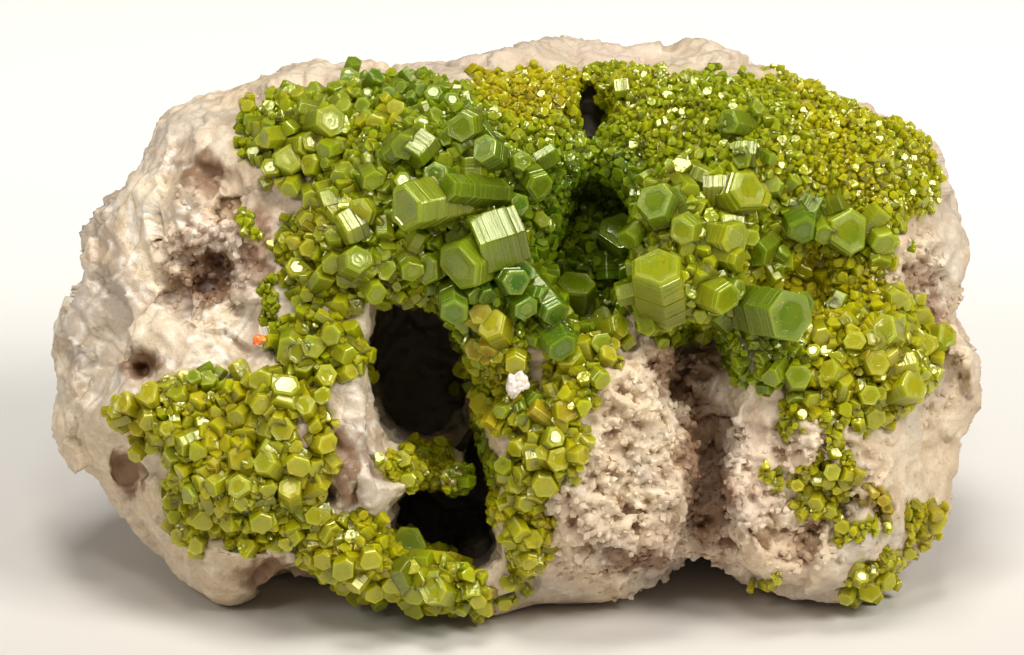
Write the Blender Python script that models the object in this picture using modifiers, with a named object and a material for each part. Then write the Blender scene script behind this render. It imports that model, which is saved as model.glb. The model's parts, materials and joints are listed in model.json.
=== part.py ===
"""Pyromorphite specimen: green hexagonal crystals crusted over a vuggy quartz matrix.

Metres, +Z up. The specimen stands on z = 0, its crystal face looks towards -Y and up,
and the origin lies on the flat underside. Sizes below are in millimetres.

Places on the face are given as (across, up, out): across runs along +X, up runs up the
leaning face, and out points straight away from it.
"""

import math
import random
from collections import namedtuple

import bmesh
import bpy
from mathutils import Matrix, Vector, noise
from mathutils.bvhtree import BVHTree

MM = 0.001

# Driving sizes
FACE_LEAN = math.radians(22)
FACE_CENTRE = Vector((0.0, 0.5, 17.3))
FACE_BULGE = 12.5
BACK_REACH = 17.0
BACK_DROP = math.radians(11)
BOXINESS = 0.72
FLOOR_SIZE = 100.0
ROCK_GRID = 0.6
ROCK_TRIANGLES = 2050

# The crust follows the rock at a small gap, and its crystals stand on it
SKIN_GAP = 0.35
LEAST_GAP = 0.1
CRUST_TOP = 0.8
CRUST_GRID = 0.45
CRUST_TRIANGLES = 1300
TRIM_TRIANGLES = 1150
REGION_TRIANGLES = 18
CRYSTAL_ROOT = 1.6
CRYSTAL_RISE = 0.95
FLOOR_CLEARANCE = 0.4
FLAT_ANGLE = math.radians(4)
PATCH_FRONT = 30.0
PATCH_BACK = -2.5

ACROSS = Vector((1.0, 0.0, 0.0))
UP = Vector((0.0, math.sin(FACE_LEAN), math.cos(FACE_LEAN)))
OUT = Vector((0.0, -math.cos(FACE_LEAN), math.sin(FACE_LEAN)))
BACKWARD = Vector((0.0, math.cos(BACK_DROP), -math.sin(BACK_DROP)))

# The rock's outline, seen square to the face: (across, up), clockwise from the left
OUTLINE = [
    (-33.0, -6.9), (-32.5, -3.0), (-31.9, 0.1), (-31.2, 2.9), (-31.0, 6.1), (-30.2, 8.3),
    (-27.3, 9.4), (-25.9, 11.7), (-24.8, 15.1), (-21.8, 16.0), (-18.0, 17.0), (-14.8, 17.6),
    (-11.7, 17.8), (-7.8, 17.4), (-4.3, 18.0), (-1.2, 18.8), (1.3, 19.6), (4.1, 20.0),
    (6.9, 19.6), (10.4, 19.2), (13.5, 19.0), (15.6, 18.2), (18.8, 17.3), (21.2, 16.6),
    (24.4, 15.2), (27.5, 13.9), (29.6, 12.0), (30.7, 9.2), (31.9, 6.8), (32.2, 4.6),
    (31.0, 2.5), (31.2, 0.6), (32.6, -2.3), (32.4, -5.1), (31.5, -7.9), (31.0, -10.7),
    (30.4, -13.6), (28.6, -16.4), (26.2, -18.6), (22.3, -19.6), (18.8, -19.0), (15.3, -17.4),
    (13.2, -15.5), (12.1, -16.9), (9.7, -18.1), (6.2, -18.9), (2.3, -19.6), (-1.5, -20.2),
    (-5.0, -19.1), (-7.8, -18.4), (-11.0, -18.6), (-13.8, -18.3), (-15.9, -17.9),
    (-19.4, -19.9), (-21.5, -19.2), (-23.9, -16.7), (-26.7, -13.7), (-29.2, -10.6),
    (-32.0, -8.8),
]

# Rises and dips of the front: centre, half sizes, turn in degrees, height, edge softness
Swell = namedtuple("Swell", "across up half_width half_height turn rise edge")
SWELLS = [
    Swell(-6.0, 9.5, 12.0, 7.5, 20, 3.4, 0.7),
    Swell(-13.5, 12.5, 6.0, 4.5, 0, 1.2, 0.6),
    Swell(0.0, 1.5, 4.5, 4.5, -20, 2.4, 0.6),
    Swell(12.0, 5.5, 5.5, 6.5, 0, 3.6, 0.6),
    Swell(15.5, 12.0, 7.0, 4.0, 0, 1.4, 0.7),
    Swell(24.0, 11.0, 9.0, 7.0, 25, 1.6, 0.8),
    Swell(25.0, -3.0, 5.5, 5.5, 0, 2.2, 0.6),
    Swell(17.5, -2.0, 3.5, 3.5, 0, 2.4, 0.5),
    Swell(6.5, -9.5, 5.5, 9.5, 8, 2.6, 0.4),
    Swell(21.5, -12.0, 8.0, 7.0, -10, 2.2, 0.3),
    Swell(-19.0, -8.5, 8.0, 7.0, -12, 2.0, 0.5),
    Swell(-26.0, 4.0, 5.0, 6.0, 0, 1.2, 0.5),
    Swell(-11.0, -7.0, 2.0, 8.0, 4, 1.2, 0.4),
    Swell(-7.5, -16.5, 7.0, 3.0, -8, 2.6, 0.5),
    Swell(5.0, 7.0, 7.0, 9.0, 12, -4.0, 0.9),
    Swell(5.5, 15.5, 4.0, 5.0, 0, -3.0, 0.8),
    Swell(20.0, 2.5, 4.5, 3.5, 0, -3.0, 0.7),
    Swell(-16.0, 8.0, 3.5, 5.0, 0, -1.8, 0.7),
    Swell(-20.0, 1.0, 5.0, 3.5, 0, -1.4, 0.6),
    Swell(-16.5, -17.5, 6.0, 2.2, 0, -2.6, 0.4),
]

# Flat broken faces: a point on the face's frame and the way the facet looks
Chip = namedtuple("Chip", "across up out facing")
CHIPS = [
    Chip(-25.6, 11.0, 3.2, (-0.62, 0.52, 0.58)),
    Chip(-30.1, -1.0, 3.4, (-0.86, 0.05, 0.5)),
    Chip(-26.0, -11.8, 5.0, (-0.6, -0.52, 0.6)),
    Chip(-19.0, 16.2, 1.0, (-0.3, 0.9, 0.32)),
    Chip(-22.5, 5.0, 8.0, (-0.38, 0.2, 0.9)),
    Chip(24.0, -14.5, 9.0, (0.28, -0.35, 0.9)),
    Chip(30.4, -8.5, 3.5, (0.8, -0.35, 0.5)),
    Chip(30.6, 5.5, 2.8, (0.84, 0.22, 0.5)),
    Chip(9.5, 18.6, 1.8, (0.05, 0.94, 0.34)),
    Chip(-14.0, 3.0, -13.2, (-0.35, 0.12, -0.93)),
    Chip(12.0, 7.0, -13.0, (0.32, 0.4, -0.86)),
    Chip(6.0, -9.0, -13.4, (0.15, -0.42, -0.9)),
    Chip(-26.0, 4.0, -7.0, (-0.75, 0.25, -0.6)),
    Chip(27.0, -4.0, -9.0, (0.7, -0.05, -0.7)),
]

# Holes cut into the rock: centre, half sizes, depth below the surface, turn in degrees
Hollow = namedtuple("Hollow", "name across up half_width half_height depth turn")
HOLLOWS = [
    Hollow("vug_upper", -5.3, -4.6, 4.6, 6.2, 15.0, 6),
    Hollow("vug_lower", -5.2, -13.6, 3.7, 3.2, 12.0, 0),
    Hollow("crystal_hollow", 5.8, 5.0, 3.4, 6.4, 9.0, -8),
    Hollow("rear_gap", 5.6, 14.6, 1.5, 3.4, 5.0, 0),
    Hollow("crevice_upper", 13.2, -2.6, 2.6, 4.0, 8.0, 0),
    Hollow("crevice_middle", 13.9, -8.2, 1.6, 3.6, 6.5, 0),
    Hollow("crevice_lower", 13.4, -14.0, 2.0, 4.4, 7.0, 0),
    Hollow("column_pit", 8.9, -16.2, 1.9, 1.2, 2.6, 12),
    Hollow("side_pit", -26.0, -2.4, 1.6, 1.2, 2.4, 20),
    Hollow("side_notch", -26.4, -10.8, 0.8, 1.4, 1.8, -15),
    Hollow("brown_pocket", -21.4, 3.9, 2.4, 1.7, 1.9, 10),
    Hollow("upper_pocket", -20.6, 8.2, 1.9, 1.2, 1.8, 25),
    Hollow("under_ledge", -15.6, -17.7, 3.4, 0.9, 3.4, -6),
    Hollow("wall_slot", -12.4, -9.0, 0.7, 3.4, 3.0, 4),
]

# Where each crust lies on the face, as overlapping ovals
Oval = namedtuple("Oval", "across up half_width half_height turn")
PATCHES = {
    "main_crust": [
        Oval(-11.5, 13.6, 8.2, 3.8, 6), Oval(-5.5, 9.0, 7.5, 6.8, 0), Oval(-12.0, 6.2, 4.4, 5.0, 0),
        Oval(0.5, 5.0, 5.5, 6.5, 0), Oval(3.2, 2.0, 3.6, 3.0, 0), Oval(6.5, 10.0, 6.0, 5.5, 0),
        Oval(7.0, 15.6, 10.0, 3.0, 0), Oval(12.5, 6.5, 5.8, 7.0, 0), Oval(11.6, 2.0, 3.6, 3.0, 0),
        Oval(21.0, 12.0, 9.4, 5.6, -20), Oval(21.5, 4.5, 6.8, 4.8, 0), Oval(24.5, -1.6, 5.8, 4.6, 10),
        Oval(17.6, -0.8, 3.0, 3.8, -20), Oval(23.2, -4.6, 4.4, 2.8, 0), Oval(-2.2, 0.6, 2.2, 3.2, 20),
        Oval(-0.6, -3.6, 1.8, 3.8, 10), Oval(2.6, -7.8, 2.6, 3.4, 10), Oval(4.2, -3.6, 1.8, 1.6, 0),
        Oval(0.8, -13.6, 1.4, 4.2, 0), Oval(1.6, -10.0, 2.0, 2.4, 0),
    ],
    "left_crust": [
        Oval(-13.8, -2.0, 2.8, 2.6, 0), Oval(-19.0, -6.6, 6.8, 3.4, 0), Oval(-17.6, -10.8, 6.4, 4.4, 0),
        Oval(-18.6, -14.0, 4.6, 2.4, 0), Oval(-11.4, -15.0, 4.6, 2.8, -20), Oval(-6.2, -16.9, 4.2, 1.8, -16),
    ],
    "vug_shelf_patch": [Oval(-6.4, -9.9, 2.6, 1.3, 8)],
    "right_face_patch": [Oval(21.4, -10.4, 1.7, 3.0, -8), Oval(22.8, -9.0, 1.4, 1.6, 0)],
    "low_right_patch": [Oval(25.2, -16.8, 2.0, 1.4, 25)],
    "right_edge_patch": [Oval(28.1, -13.6, 1.2, 1.2, 0)],
}

# Leading crystals: (across, up, radius, lean across, lean up)
CRYSTALS = {
    "main_crust": [
        (-15.5, 13.2, 0.9, -0.2, 0.3), (-15.7, 11.2, 1.3, -0.3, -0.4), (-12.9, 13.8, 1.5, 0.0, 0.1),
        (-13.3, 10.9, 0.9, 0.1, -0.3), (-11.3, 10.7, 0.9, 0.2, -0.3),
        (-10.9, 16.7, 0.9, 0.0, 0.6), (-12.5, 16.2, 0.8, -0.2, 0.5),
        (-14.9, 15.6, 0.8, -0.3, 0.4), (-17.2, 14.4, 0.7, -0.4, 0.2), (-7.6, 14.0, 0.8, 0.2, 0.4),
        (-6.3, 12.4, 1.1, 0.3, -0.5), (-8.2, 12.3, 1.0, -0.3, -0.2), (-3.5, 13.1, 1.7, 0.5, 0.5),
        (-1.4, 11.6, 1.4, 0.6, 0.3), (-0.3, 10.2, 1.3, 0.5, 0.1),
        (-3.9, 15.8, 0.9, 0.2, 0.6), (-9.8, 7.8, 1.3, -0.2, 0.4),
        (-11.3, 6.9, 1.0, -0.3, 0.1), (-10.5, 4.6, 1.5, -0.2, -0.1), (-9.2, 9.1, 0.9, 0.0, 0.3),
        (-14.0, 4.7, 1.0, -0.4, 0.0), (-13.2, 3.1, 1.1, -0.2, -0.3),
        (-6.8, 6.7, 2.3, -0.6, -0.1), (-1.7, 5.6, 2.3, 0.2, -0.1), (-4.2, 4.6, 1.9, -0.1, -0.4),
        (-4.7, 8.5, 1.8, -0.2, 0.4), (-2.1, 8.7, 1.7, 0.2, 0.5), (0.4, 7.8, 1.3, 0.6, 0.1),
        (1.6, 7.1, 0.8, 0.8, 0.0), (-1.9, 1.2, 1.4, -0.5, -0.8), (0.7, 2.6, 1.6, 0.2, -0.3),
        (2.3, 0.6, 1.5, 0.5, -0.6), (4.3, 2.6, 1.5, 0.2, 0.1), (5.6, 0.2, 1.2, 0.4, -0.3),
        (7.7, 5.4, 1.5, -0.6, 0.1), (10.1, 9.9, 0.9, -0.3, 0.3), (12.5, 10.1, 1.1, 0.0, 0.3),
        (10.5, 7.7, 1.4, -0.3, 0.1), (14.4, 9.4, 1.7, 0.2, 0.2), (13.2, 6.3, 1.2, 0.1, 0.0),
        (15.2, 6.1, 1.0, 0.4, 0.0), (10.7, 2.9, 1.9, -0.2, -0.1), (13.0, 3.2, 1.4, 0.2, -0.2),
        (9.3, 4.5, 1.0, -0.5, 0.0), (16.1, 2.1, 0.9, 0.2, 0.2),
        (11.2, 0.7, 1.0, 0.0, -0.7), (17.2, 5.6, 1.2, 0.1, 0.1), (16.3, -0.2, 1.7, -0.3, 0.3),
        (17.8, -2.4, 1.6, 0.1, -0.4), (19.8, -2.3, 1.2, 0.3, -0.2), (19.5, 7.4, 1.3, 0.0, 0.3),
        (22.1, 6.7, 1.6, 0.1, 0.2), (16.0, 13.9, 1.3, 0.1, 0.6),
        (16.4, 11.6, 1.0, 0.1, 0.2), (13.8, 12.6, 1.8, 0.0, 0.4), (11.5, 13.2, 1.5, -0.3, 0.5),
        (20.5, 9.8, 1.6, 0.1, 0.3), (23.2, 10.6, 1.1, 0.2, 0.3),
        (7.9, 13.0, 1.3, -0.2, 0.2), (3.9, 12.2, 1.0, 0.3, 0.2), (3.2, 9.4, 1.0, 0.4, 0.0),
        (22.4, 1.8, 0.8, 0.0, 0.3), (24.6, 2.6, 0.9, 0.2, 0.1), (26.0, -0.6, 1.2, 0.1, 0.1),
        (27.8, -1.0, 0.9, 0.5, 0.2), (26.2, -4.0, 1.4, 0.2, -0.2), (24.2, -2.4, 1.1, 0.0, 0.0),
        (22.3, -3.5, 1.2, -0.2, -0.2), (21.2, -0.9, 1.0, -0.1, 0.1), (20.2, -4.8, 0.8, -0.2, -0.5),
        (24.0, -5.8, 1.0, 0.1, -0.5), (29.2, -2.2, 0.9, 0.6, -0.1),
        (18.4, 3.5, 0.9, 0.0, 0.0), (26.6, 2.4, 0.9, 0.4, 0.1), (-0.8, 16.3, 0.9, 0.0, 0.4),
        (1.5, 17.1, 1.0, 0.1, 0.5), (3.8, 17.6, 0.9, 0.1, 0.5), (7.6, 17.0, 1.1, 0.0, 0.4),
        (10.0, 17.0, 1.0, 0.0, 0.5), (12.8, 16.6, 1.0, 0.1, 0.5), (15.4, 16.0, 0.9, 0.2, 0.5),
        (18.2, 14.6, 0.9, 0.2, 0.5), (21.2, 14.6, 0.8, 0.2, 0.6), 
        (27.0, 12.0, 0.8, 0.5, 0.4), (26.6, 9.6, 0.8, 0.4, 0.2), (1.6, 14.6, 0.9, 0.1, 0.3),
        (-0.8, -0.9, 1.1, -0.1, 0.1), (0.2, -2.2, 0.9, 0.2, 0.1), (-1.6, -3.2, 0.9, -0.5, -0.1),
        (0.8, -4.8, 1.0, 0.2, -0.2), (-1.6, -5.7, 0.9, -0.4, -0.1), (2.0, -6.0, 0.9, -0.2, 0.1),
        (3.5, -5.2, 0.9, 0.2, 0.3), (4.5, -3.2, 1.1, 0.1, 0.3), (3.5, -7.3, 1.0, 0.3, 0.0),
        (2.4, -9.0, 1.1, 0.0, -0.1), (0.9, -10.0, 1.1, -0.3, -0.1), (1.0, -12.4, 0.9, -0.2, 0.0),
        (1.2, -14.6, 0.8, 0.1, -0.1), (0.6, -16.4, 0.8, -0.1, -0.3),
    ],
    "left_crust": [
        (-15.2, -1.0, 0.9, -0.3, 0.3), (-13.9, -1.8, 1.0, 0.0, 0.2), (-12.5, -1.4, 1.2, 0.2, 0.1),
        (-13.0, -3.7, 1.0, 0.2, -0.2), (-15.0, -4.0, 1.0, -0.1, 0.1), (-25.0, -5.3, 0.8, -0.5, 0.2),
        (-23.2, -4.9, 0.9, -0.3, 0.4), (-20.8, -4.4, 0.8, -0.2, 0.4), (-18.6, -5.1, 0.9, 0.0, 0.2),
        (-17.0, -3.9, 0.8, 0.0, 0.4), (-22.0, -7.2, 0.9, -0.2, 0.1),
        (-19.7, -7.1, 1.0, -0.1, 0.1), (-17.4, -7.0, 0.9, 0.1, 0.1), (-15.2, -6.7, 1.1, 0.3, 0.1),
        (-23.0, -9.5, 0.8, -0.4, -0.1), (-18.6, -9.4, 0.9, 0.1, 0.0),
        (-16.5, -9.6, 0.9, 0.2, 0.1), (-14.6, -9.2, 1.0, 0.4, 0.0), (-21.6, -11.8, 0.9, -0.3, -0.2),
        (-17.4, -12.1, 0.9, 0.1, -0.1), (-15.3, -12.0, 0.9, 0.3, -0.2),
        (-21.0, -14.2, 0.9, -0.2, -0.5), (-16.5, -14.1, 0.8, 0.1, -0.4),
        (-13.6, -13.4, 0.8, 0.4, -0.3), (-12.0, -14.8, 0.9, 0.2, 0.0), (-10.7, -16.6, 1.0, 0.0, -0.3),
        (-9.6, -14.9, 0.9, 0.2, 0.2), (-7.4, -15.9, 1.3, 0.3, 0.1), 
        (-4.4, -17.4, 1.2, 0.3, -0.1), (-6.0, -17.3, 0.8, 0.0, -0.4),
    ],
    "vug_shelf_patch": [
        (-7.9, -10.1, 0.7, -0.2, 0.2), (-6.5, -9.7, 0.8, 0.0, 0.3), (-5.0, -9.6, 0.7, 0.3, 0.2),
    ],
    "right_face_patch": [
        (21.2, -9.8, 0.7, -0.1, 0.1), (22.6, -8.8, 0.6, 0.2, 0.2), (21.0, -11.8, 0.8, 0.0, -0.3),
    ],
    "low_right_patch": [(24.6, -17.0, 0.9, 0.1, -0.3), (26.0, -16.2, 0.8, 0.4, -0.2)],
    "right_edge_patch": [(28.1, -13.6, 0.9, 0.4, -0.1)],
}

# Single grains on the face: place, half sizes, and how far the middle stands off the rock
Grain = namedtuple("Grain", "name material across up half_width half_height thickness lift")
GRAINS = [
    Grain("quartz_grain", "pale_quartz", 0.4, -3.9, 0.9, 1.2, 0.9, 1.9),
    Grain("orange_grain", "orange_crystal", -17.3, -0.9, 0.6, 0.45, 0.6, 0.5),
]

COLOURS = {
    "quartz": (0.62, 0.52, 0.44, 1.0),
    "pyromorphite": (0.30, 0.42, 0.03, 1.0),
    "pale_quartz": (0.80, 0.70, 0.62, 1.0),
    "orange_crystal": (0.75, 0.22, 0.02, 1.0),
}


def face_point(across, up, out):
    """A place on the leaning face, in millimetres of the world frame."""
    return FACE_CENTRE + ACROSS * across + UP * up + OUT * out


def turned(across, up, degrees):
    """(across, up) seen in axes turned by this angle."""
    angle = math.radians(degrees)
    cosine, sine = math.cos(angle), math.sin(angle)
    return across * cosine + up * sine, up * cosine - across * sine


def smooth(value):
    """0 to 1 with soft ends."""
    value = min(1.0, max(0.0, value))
    return value * value * (3 - 2 * value)


def clear_scene():
    for obj in list(bpy.data.objects):
        bpy.data.objects.remove(obj, do_unlink=True)


def new_collection(name, shown=True):
    collection = bpy.data.collections.new(name)
    bpy.context.scene.collection.children.link(collection)
    collection.hide_render = not shown
    return collection


def new_material(name, roughness):
    material = bpy.data.materials.new(name)
    material.use_nodes = True
    shader = material.node_tree.nodes["Principled BSDF"]
    shader.inputs["Base Color"].default_value = COLOURS[name]
    shader.inputs["Roughness"].default_value = roughness
    shader.inputs["Metallic"].default_value = 0.0
    return material


def add_object(name, mesh, collection, material=None, shown=True):
    obj = bpy.data.objects.new(name, mesh)
    collection.objects.link(obj)
    if material is not None:
        mesh.materials.clear()
        mesh.materials.append(material)
    if not shown:
        obj.hide_render = True
        obj.display_type = "WIRE"
    return obj


def mesh_from_bmesh(name, bm):
    bmesh.ops.recalc_face_normals(bm, faces=bm.faces)
    mesh = bpy.data.meshes.new(name)
    bm.to_mesh(mesh)
    bm.free()
    return mesh


def evaluated_mesh(obj):
    """A plain mesh of the object with its modifiers applied."""
    bpy.context.view_layer.update()
    graph = bpy.context.evaluated_depsgraph_get()
    return bpy.data.meshes.new_from_object(obj.evaluated_get(graph))


def boolean(obj, other, operation):
    """A Boolean modifier that takes an object, or every object of a collection."""
    modifier = obj.modifiers.new(operation.title(), "BOOLEAN")
    modifier.operation = operation
    modifier.solver = "EXACT"
    if isinstance(other, bpy.types.Collection):
        modifier.operand_type = "COLLECTION"
        modifier.collection = other
    else:
        modifier.object = other
    return modifier


def remesh(obj, grid):
    """Makes one clean skin of this grain from whatever the object's mesh crosses or folds."""
    modifier = obj.modifiers.new("Remesh", "REMESH")
    modifier.mode = "VOXEL"
    modifier.voxel_size = grid * MM


def decimate(obj, triangles):
    """Brings the object's evaluated mesh down to about this many triangles."""
    current = sum(len(face.vertices) - 2 for face in evaluated_mesh(obj).polygons)
    modifier = obj.modifiers.new("Decimate", "DECIMATE")
    modifier.ratio = min(1.0, triangles / current)


def merge_flat_faces(obj):
    """Joins the scraps of flat faces that Boolean cuts leave."""
    modifier = obj.modifiers.new("Merge flats", "DECIMATE")
    modifier.decimate_type = "DISSOLVE"
    modifier.angle_limit = FLAT_ANGLE


def outline_reach(angle, spokes):
    """How far the outline lies from the face's middle in this direction."""
    for (a, reach_a), (b, reach_b) in zip(spokes, spokes[1:]):
        if a <= angle <= b:
            return reach_a + (reach_b - reach_a) * (angle - a) / (b - a)
    raise ValueError("the outline has no spoke at this angle")


def outline_spokes():
    """The outline as (angle, reach), sorted, with one spoke repeated past each end."""
    spokes = sorted((math.atan2(up, across), math.hypot(across, up)) for across, up in OUTLINE)
    first, last = spokes[0], spokes[-1]
    full_turn = 2 * math.pi
    return [(last[0] - full_turn, last[1]), *spokes, (first[0] + full_turn, first[1])]


def swell_rise(across, up):
    """The sum of the rises and dips at a place on the face."""
    rise = 0.0
    for swell in SWELLS:
        a, b = turned(across - swell.across, up - swell.up, swell.turn)
        inside = 1 - math.hypot(a / swell.half_width, b / swell.half_height)
        if inside > 0:
            rise += swell.rise * smooth(inside / swell.edge)
    return rise


def rock_point(direction, spokes):
    """Where a point of the unit sphere goes on the rock, as (across, up, out) plus a reach back."""
    x, y, z = direction
    sideways = math.hypot(x, y)
    reach = outline_reach(math.atan2(y, x), spokes) * sideways**BOXINESS
    scale = reach / max(sideways, 1e-6)
    across, up = x * scale, y * scale
    bulge = abs(z) ** BOXINESS
    if z < 0:
        return face_point(across, up, 0.0) + BACKWARD * (bulge * BACK_REACH)
    front = smooth(z * 2.5)
    return face_point(across, up, bulge * FACE_BULGE + swell_rise(across, up) * front)


def flatten_chips(point):
    """Moves a point that stands proud of a broken face onto it."""
    for chip in CHIPS:
        facing = (ACROSS * chip.facing[0] + UP * chip.facing[1] + OUT * chip.facing[2]).normalized()
        proud = (point - face_point(chip.across, chip.up, chip.out)).dot(facing)
        if proud > 0:
            point = point - facing * proud * 0.92
    return point


def roughness_at(point):
    """Lumps of the rock's surface, in millimetres along the normal."""
    coarse = noise.noise(point * 0.16) * 1.3
    middle = noise.noise(point * 0.42 + Vector((7.0, 3.0, 1.0))) * 0.7
    ridged = (0.5 - abs(noise.noise(point * 0.3 + Vector((2.0, 9.0, 4.0))))) * 1.0
    return coarse + middle + ridged - 0.5


def rock_blank():
    """The whole rock before its holes are cut: a ball drawn out to the outline and roughened."""
    bm = bmesh.new()
    bmesh.ops.create_icosphere(bm, subdivisions=6, radius=1.0)
    spokes = outline_spokes()
    for vertex in bm.verts:
        vertex.co = flatten_chips(rock_point(vertex.co, spokes))
    bm.normal_update()
    moves = [vertex.normal * roughness_at(vertex.co) * 0.6 for vertex in bm.verts]
    for vertex, move in zip(bm.verts, moves):
        vertex.co = (vertex.co + move) * MM
    return mesh_from_bmesh("rock_blank", bm)


def surface_below(tree, across, up):
    """(place, normal) where a line straight into the face meets the surface, in millimetres."""
    start = face_point(across, up, PATCH_FRONT) * MM
    place, normal, _, _ = tree.ray_cast(start, -OUT)
    if place is None:
        raise ValueError(f"nothing lies under across {across}, up {up}")
    return place / MM, normal


def cut_hollows(rock, cutters):
    """One lumpy cutter for each hole, sunk into the surface it is cut in."""
    tree = BVHTree.FromObject(rock, bpy.context.evaluated_depsgraph_get())
    for number, hollow in enumerate(HOLLOWS):
        place, _ = surface_below(tree, hollow.across, hollow.up)
        bm = bmesh.new()
        bmesh.ops.create_icosphere(bm, subdivisions=4, radius=1.0)
        shift = Vector((number * 5.0, 0.0, 0.0))
        for vertex in bm.verts:
            swollen = vertex.co * (1 + 0.28 * noise.noise(vertex.co * 1.7 + shift))
            a, b = turned(swollen.x * hollow.half_width, swollen.y * hollow.half_height, -hollow.turn)
            sunk = place + ACROSS * a + UP * b + OUT * swollen.z * hollow.depth
            vertex.co = sunk * MM
        cutter = add_object(hollow.name, mesh_from_bmesh(hollow.name, bm), cutters, shown=False)
        boolean(rock, cutter, "DIFFERENCE")


def floor_cutter(name, top, cutters):
    """A block that takes away what would lie below this height."""
    bm = bmesh.new()
    middle = Matrix.Translation(Vector((0.0, 0.0, top - FLOOR_SIZE / 2)) * MM)
    bmesh.ops.create_cube(bm, size=FLOOR_SIZE * MM, matrix=middle)
    return add_object(name, mesh_from_bmesh(name, bm), cutters, shown=False)


def build_matrix(collection, cutters, material):
    """The quartz rock: blank, holes, then a coarse faceted surface with a flat underside."""
    blank = add_object("rock_blank", rock_blank(), cutters, shown=False)
    remesh(blank, ROCK_GRID)
    rock = add_object("rock_whole", evaluated_mesh(blank), cutters, shown=False)
    cut_hollows(rock, cutters)
    coarse = add_object("rock_coarse", evaluated_mesh(rock), cutters, shown=False)
    remesh(coarse, ROCK_GRID)
    decimate(coarse, ROCK_TRIANGLES)
    matrix = add_object("matrix", evaluated_mesh(coarse), collection, material)
    boolean(matrix, floor_cutter("floor_cutter", 0.0, cutters), "DIFFERENCE")
    return matrix


def grown_copy(obj, cutters, name, distance, triangles=None):
    """An object grown along its normals, made one clean coarse skin if a size is given for it."""
    grown = add_object(name, evaluated_mesh(obj), cutters, shown=False)
    displace = grown.modifiers.new("Grow", "DISPLACE")
    displace.strength = distance * MM
    displace.mid_level = 0.0
    if triangles is not None:
        remesh(grown, CRUST_GRID)
        decimate(grown, triangles)
    return grown


def oval_prism(bm, oval):
    """An upright wall of the face's depth round one oval."""
    middle = (PATCH_FRONT + PATCH_BACK) / 2
    wall = bmesh.ops.create_cone(
        bm, cap_ends=True, segments=24, radius1=1.0, radius2=1.0, depth=PATCH_FRONT - PATCH_BACK
    )
    for vertex in wall["verts"]:
        a, b = turned(vertex.co.x * oval.half_width, vertex.co.y * oval.half_height, -oval.turn)
        vertex.co = face_point(oval.across + a, oval.up + b, middle + vertex.co.z) * MM


def patch_region(name, cutters):
    """All the ovals of a patch joined in one block."""
    bm = bmesh.new()
    for oval in PATCHES[name]:
        oval_prism(bm, oval)
    region = add_object(f"{name}_region", mesh_from_bmesh(name, bm), cutters, shown=False)
    remesh(region, CRUST_GRID)
    decimate(region, REGION_TRIANGLES * (len(PATCHES[name]) + 2))
    return region


def crystal_prism(bm, foot, axis, radius, height, spin):
    """A six-sided prism with flat ends, from below the surface to its height above it."""
    length = height + CRYSTAL_ROOT
    turn = axis.to_track_quat("Z", "Y").to_matrix().to_4x4()
    middle = foot + axis * (height - CRYSTAL_ROOT) / 2
    place = Matrix.Translation(middle * MM) @ turn @ Matrix.Rotation(spin, 4, "Z")
    bmesh.ops.create_cone(
        bm,
        cap_ends=True,
        segments=6,
        radius1=radius * MM,
        radius2=radius * 0.96 * MM,
        depth=length * MM,
        matrix=place,
    )


def crystal_axis(normal, lean_across, lean_up):
    """A crystal stands between the surface's normal and the way the face looks, then leans."""
    return (normal * 0.55 + OUT * 0.6 + ACROSS * lean_across + UP * lean_up).normalized()


def crystal_cluster(name, tree, cutters, randomness):
    """The leading crystals of one crust as overlapping prisms in one mesh."""
    bm = bmesh.new()
    for across, up, radius, lean_across, lean_up in CRYSTALS[name]:
        foot, normal = surface_below(tree, across, up)
        axis = crystal_axis(normal, lean_across, lean_up)
        height = SKIN_GAP + radius * CRYSTAL_RISE * randomness.uniform(1.0, 1.5) + 0.5
        crystal_prism(bm, foot, axis, radius, height, randomness.uniform(0, math.pi / 3))
    return add_object(f"{name}_crystals", mesh_from_bmesh(name, bm), cutters, shown=False)


def largest_body(mesh):
    """Leaves only the biggest connected body of a mesh."""
    bm = bmesh.new()
    bm.from_mesh(mesh)
    unseen = set(bm.verts)
    bodies = []
    while unseen:
        stack = [unseen.pop()]
        body = set(stack)
        while stack:
            for edge in stack.pop().link_edges:
                for vertex in edge.verts:
                    if vertex in unseen:
                        unseen.discard(vertex)
                        body.add(vertex)
                        stack.append(vertex)
        bodies.append(body)
    kept = max(bodies, key=len)
    bmesh.ops.delete(bm, geom=[v for v in bm.verts if v not in kept], context="VERTS")
    bm.to_mesh(mesh)
    bm.free()
    return mesh


def build_crust(name, skin, trims, tree, collection, cutters, material, randomness):
    """One crust: the skin inside its patch, with its crystals joined on and its foot trimmed."""
    draft = add_object(f"{name}_draft", skin.copy(), cutters, shown=False)
    boolean(draft, patch_region(name, cutters), "INTERSECT")
    union = boolean(draft, crystal_cluster(name, tree, cutters, randomness), "UNION")
    union.use_self = True
    for trim in trims:
        boolean(draft, trim, "DIFFERENCE")
    merge_flat_faces(draft)
    return add_object(name, largest_body(evaluated_mesh(draft)), collection, material)


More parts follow.
